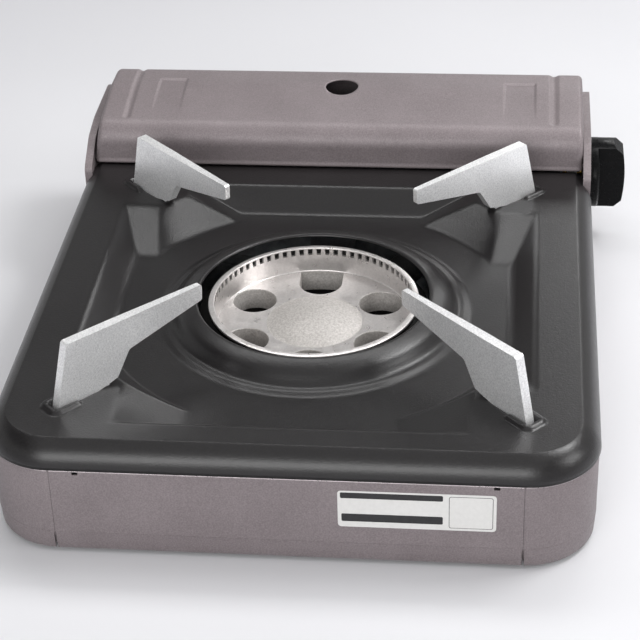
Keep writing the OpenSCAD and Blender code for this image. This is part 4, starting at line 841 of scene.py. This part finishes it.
def make_cover():
    rows, columns = cover_rows(), cover_columns()
    crest = COVER_Z - 6
    verts = []
    for p, out in rows:
        for y, d in columns:
            x, z = p.x - out.x * d, p.y - out.y * d
            if abs(y) < COVER_HALF - END_ROLL + 0.01 and z > 66:
                sink = cover_depth(x, y)
                x, z = x - out.x * sink, z - out.y * sink
            lean = END_LEAN * smooth_step((z - 60) / (crest - 60)) * smooth_step((y - 100) / 32)
            verts.append((x, y - lean, z))
    count = len(columns)
    faces = []
    for i in range(len(rows) - 1):
        for j in range(count - 1):
            faces.append((i * count + j, i * count + j + 1, (i + 1) * count + j + 1, (i + 1) * count + j))
    middle = []
    for f in faces:
        cx = sum(verts[k][0] for k in f) / 4
        cy = sum(verts[k][1] for k in f) / 4
        cz = sum(verts[k][2] for k in f) / 4
        middle.append(cz > 75 and math.hypot(cx - HOLE_X, cy) < HOLE_R)
    kept = [f for f, gone in zip(faces, middle) if not gone]
    cut = {k for f, gone in zip(faces, middle) if gone for k in f}
    rim = cut & {k for f in kept for k in f}
    for k in rim:
        x, y, z = verts[k]
        r = math.hypot(x - HOLE_X, y)
        verts[k] = (HOLE_X + (x - HOLE_X) * HOLE_R / r, y * HOLE_R / r, z)
    for end in (0, count - 1):
        outline = [i * count + end for i in range(11, len(rows))]
        y = verts[outline[-1]][1]
        ear = []
        for k in range(13):
            t = math.radians(-40 - 175 * k / 12)
            ear.append((HINGE_X + EAR_R * math.cos(t), y, HINGE_Z + EAR_R * math.sin(t)))
        ear.append((HINGE_X - EAR_R - 1, y, HINGE_Z + 3.5))
        ring = outline + list(range(len(verts), len(verts) + len(ear)))
        verts += ear
        kept.append(tuple(ring) if end == 0 else tuple(reversed(ring)))
    obj = add_mesh("cover_skin", verts, kept, paint, "cover")
    tidy = bmesh.new()
    tidy.from_mesh(obj.data)
    loose = [v for v in tidy.verts if not v.link_faces]
    bmesh.ops.delete(tidy, geom=loose, context="VERTS")
    bmesh.ops.recalc_face_normals(tidy, faces=tidy.faces)
    tidy.to_mesh(obj.data)
    tidy.free()
    crown = max(obj.data.polygons, key=lambda f: f.center[2])
    if crown.normal[2] < 0:
        obj.data.flip_normals()
    thick = obj.modifiers.new("thickness", "SOLIDIFY")
    thick.thickness = COVER_SHEET * MM
    thick.offset = -1
    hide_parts("cartridge_cover")


HUMP_X, HUMP_END_X, HUMP_Z, RETURN_LOW_Z = 83.9, 122.0, 74.5, 46.2
RETURN_Y, RETURN_T = 133.25, 0.7


def make_returns():
    """Inner edge of each raised end, turned down beside the cover."""
    corners = [Vector(c) for c in ((HUMP_X, RETURN_LOW_Z), (HUMP_X, RIM_Z + 2), (HUMP_X + 17, HUMP_Z - 3),
                                   (HUMP_X + 34, HUMP_Z), (HUMP_END_X, HUMP_Z))]
    outline = [corners[0]] + fillet(*corners[0:3], 6.0, 8) + fillet(*corners[1:4], 14.0, 8)
    outline += [corners[4], Vector((HUMP_END_X, RETURN_LOW_Z))]
    middle = Vector((HUMP_X + 20, RIM_Z))
    outline = [p + (middle - p).normalized() * 0.35 for p in outline]
    for side, name in ((1, "return_left"), (-1, "return_right")):
        near = [(p.x, side * RETURN_Y, p.y) for p in outline]
        far = [(p.x, side * (RETURN_Y + RETURN_T), p.y) for p in outline]
        n = len(outline)
        faces = [tuple(range(n)), tuple(reversed(range(n, 2 * n)))]
        faces += [(i, n + i, n + (i + 1) % n, (i + 1) % n) for i in range(n)]
        if side > 0:
            faces = [tuple(reversed(f)) for f in faces]
        add_mesh(name, near + far, faces, paint, "stove", smooth=False)


make_cover()
make_returns()
make_trim()
make_burner()
make_label()

# ---- Stage ----

FLOOR_HALF = 6.0
SKY_TONES = [(0.0, 0.6), (0.42, 0.55), (0.52, 0.12), (0.7, 0.08)]  # height of the view's direction, tone


def make_stage():
    mesh = bpy.data.meshes.new("floor")
    s = FLOOR_HALF
    mesh.from_pydata([(-s, -s, 0), (s, -s, 0), (s, s, 0), (-s, s, 0)], [], [(0, 1, 2, 3)])
    floor = bpy.data.objects.new("floor", mesh)
    bpy.context.scene.collection.objects.link(floor)
    m = Mat("floor", rough=0.6)
    # Painted shade: the floor's colour darkens from the lit tone to a greyer one between 0.3 m and 1.1 m
    # from the middle, standing in for the light falling off.
    apart = m.node("ShaderNodeVectorMath", operation="LENGTH")
    m.link(m.where, apart.inputs[0])
    near = m.ramp(m.noise(4.0), [(0.3, srgb(209, 209, 212)), (0.7, srgb(213, 213, 216))])
    m.colour(m.mix(m.mapped(apart.outputs["Value"], 0.0, 1.0, 0.3, 1.1), near, srgb(182, 181, 187)))
    mesh.materials.append(m.m)
    world = bpy.data.worlds.new("world")
    bpy.context.scene.world = world
    world.use_nodes = True
    tree = world.node_tree
    sky = tree.nodes.new("ShaderNodeTexCoord")
    parts = tree.nodes.new("ShaderNodeSeparateXYZ")
    fall = tree.nodes.new("ShaderNodeValToRGB")
    tree.links.new(sky.outputs["Generated"], parts.inputs[0])
    tree.links.new(parts.outputs["Z"], fall.inputs["Fac"])
    fall.color_ramp.elements.new(0.3)
    fall.color_ramp.elements.new(0.5)
    for stop, (at, tone) in zip(fall.color_ramp.elements, SKY_TONES):
        stop.position = at
        stop.color = (tone, tone, tone, 1)
    tree.links.new(fall.outputs["Color"], tree.nodes["Background"].inputs["Color"])
    tree.nodes["Background"].inputs["Strength"].default_value = 1.0


def area(name, at, aim, size, power):
    data = bpy.data.lights.new(name, "AREA")
    data.shape = "RECTANGLE"
    data.size, data.size_y = size
    data.energy = power
    light = bpy.data.objects.new(name, data)
    bpy.context.scene.collection.objects.link(light)
    light.location = at
    light.rotation_euler = (Vector(aim) - Vector(at)).to_track_quat("-Z", "Y").to_euler()


# Name, place, aim, size in metres, watts
LIGHTS = (
    ("key", (0.5, 0.0, 1.15), (0, 0, 0.03), (1.3, 0.3), 6.5),
    ("spot", (0.25, -0.78, 1.15), (0, 0, 0.03), (0.5, 0.4), 9.5),
    ("right", (-0.3, -1.2, 0.7), (0, 0, 0.03), (0.5, 0.5), 5),
    ("back", (1.5, -0.45, 0.8), (0, 0, 0.05), (0.6, 0.3), 3),
    ("above", (-0.6, 0.0, 1.35), (0, 0, 0.03), (1.8, 1.6), 6.2),
    ("front", (-1.6, 0.2, 0.7), (0, 0, 0.05), (1.2, 0.7), 14.5),
)

make_stage()
for light in LIGHTS:
    area(*light)
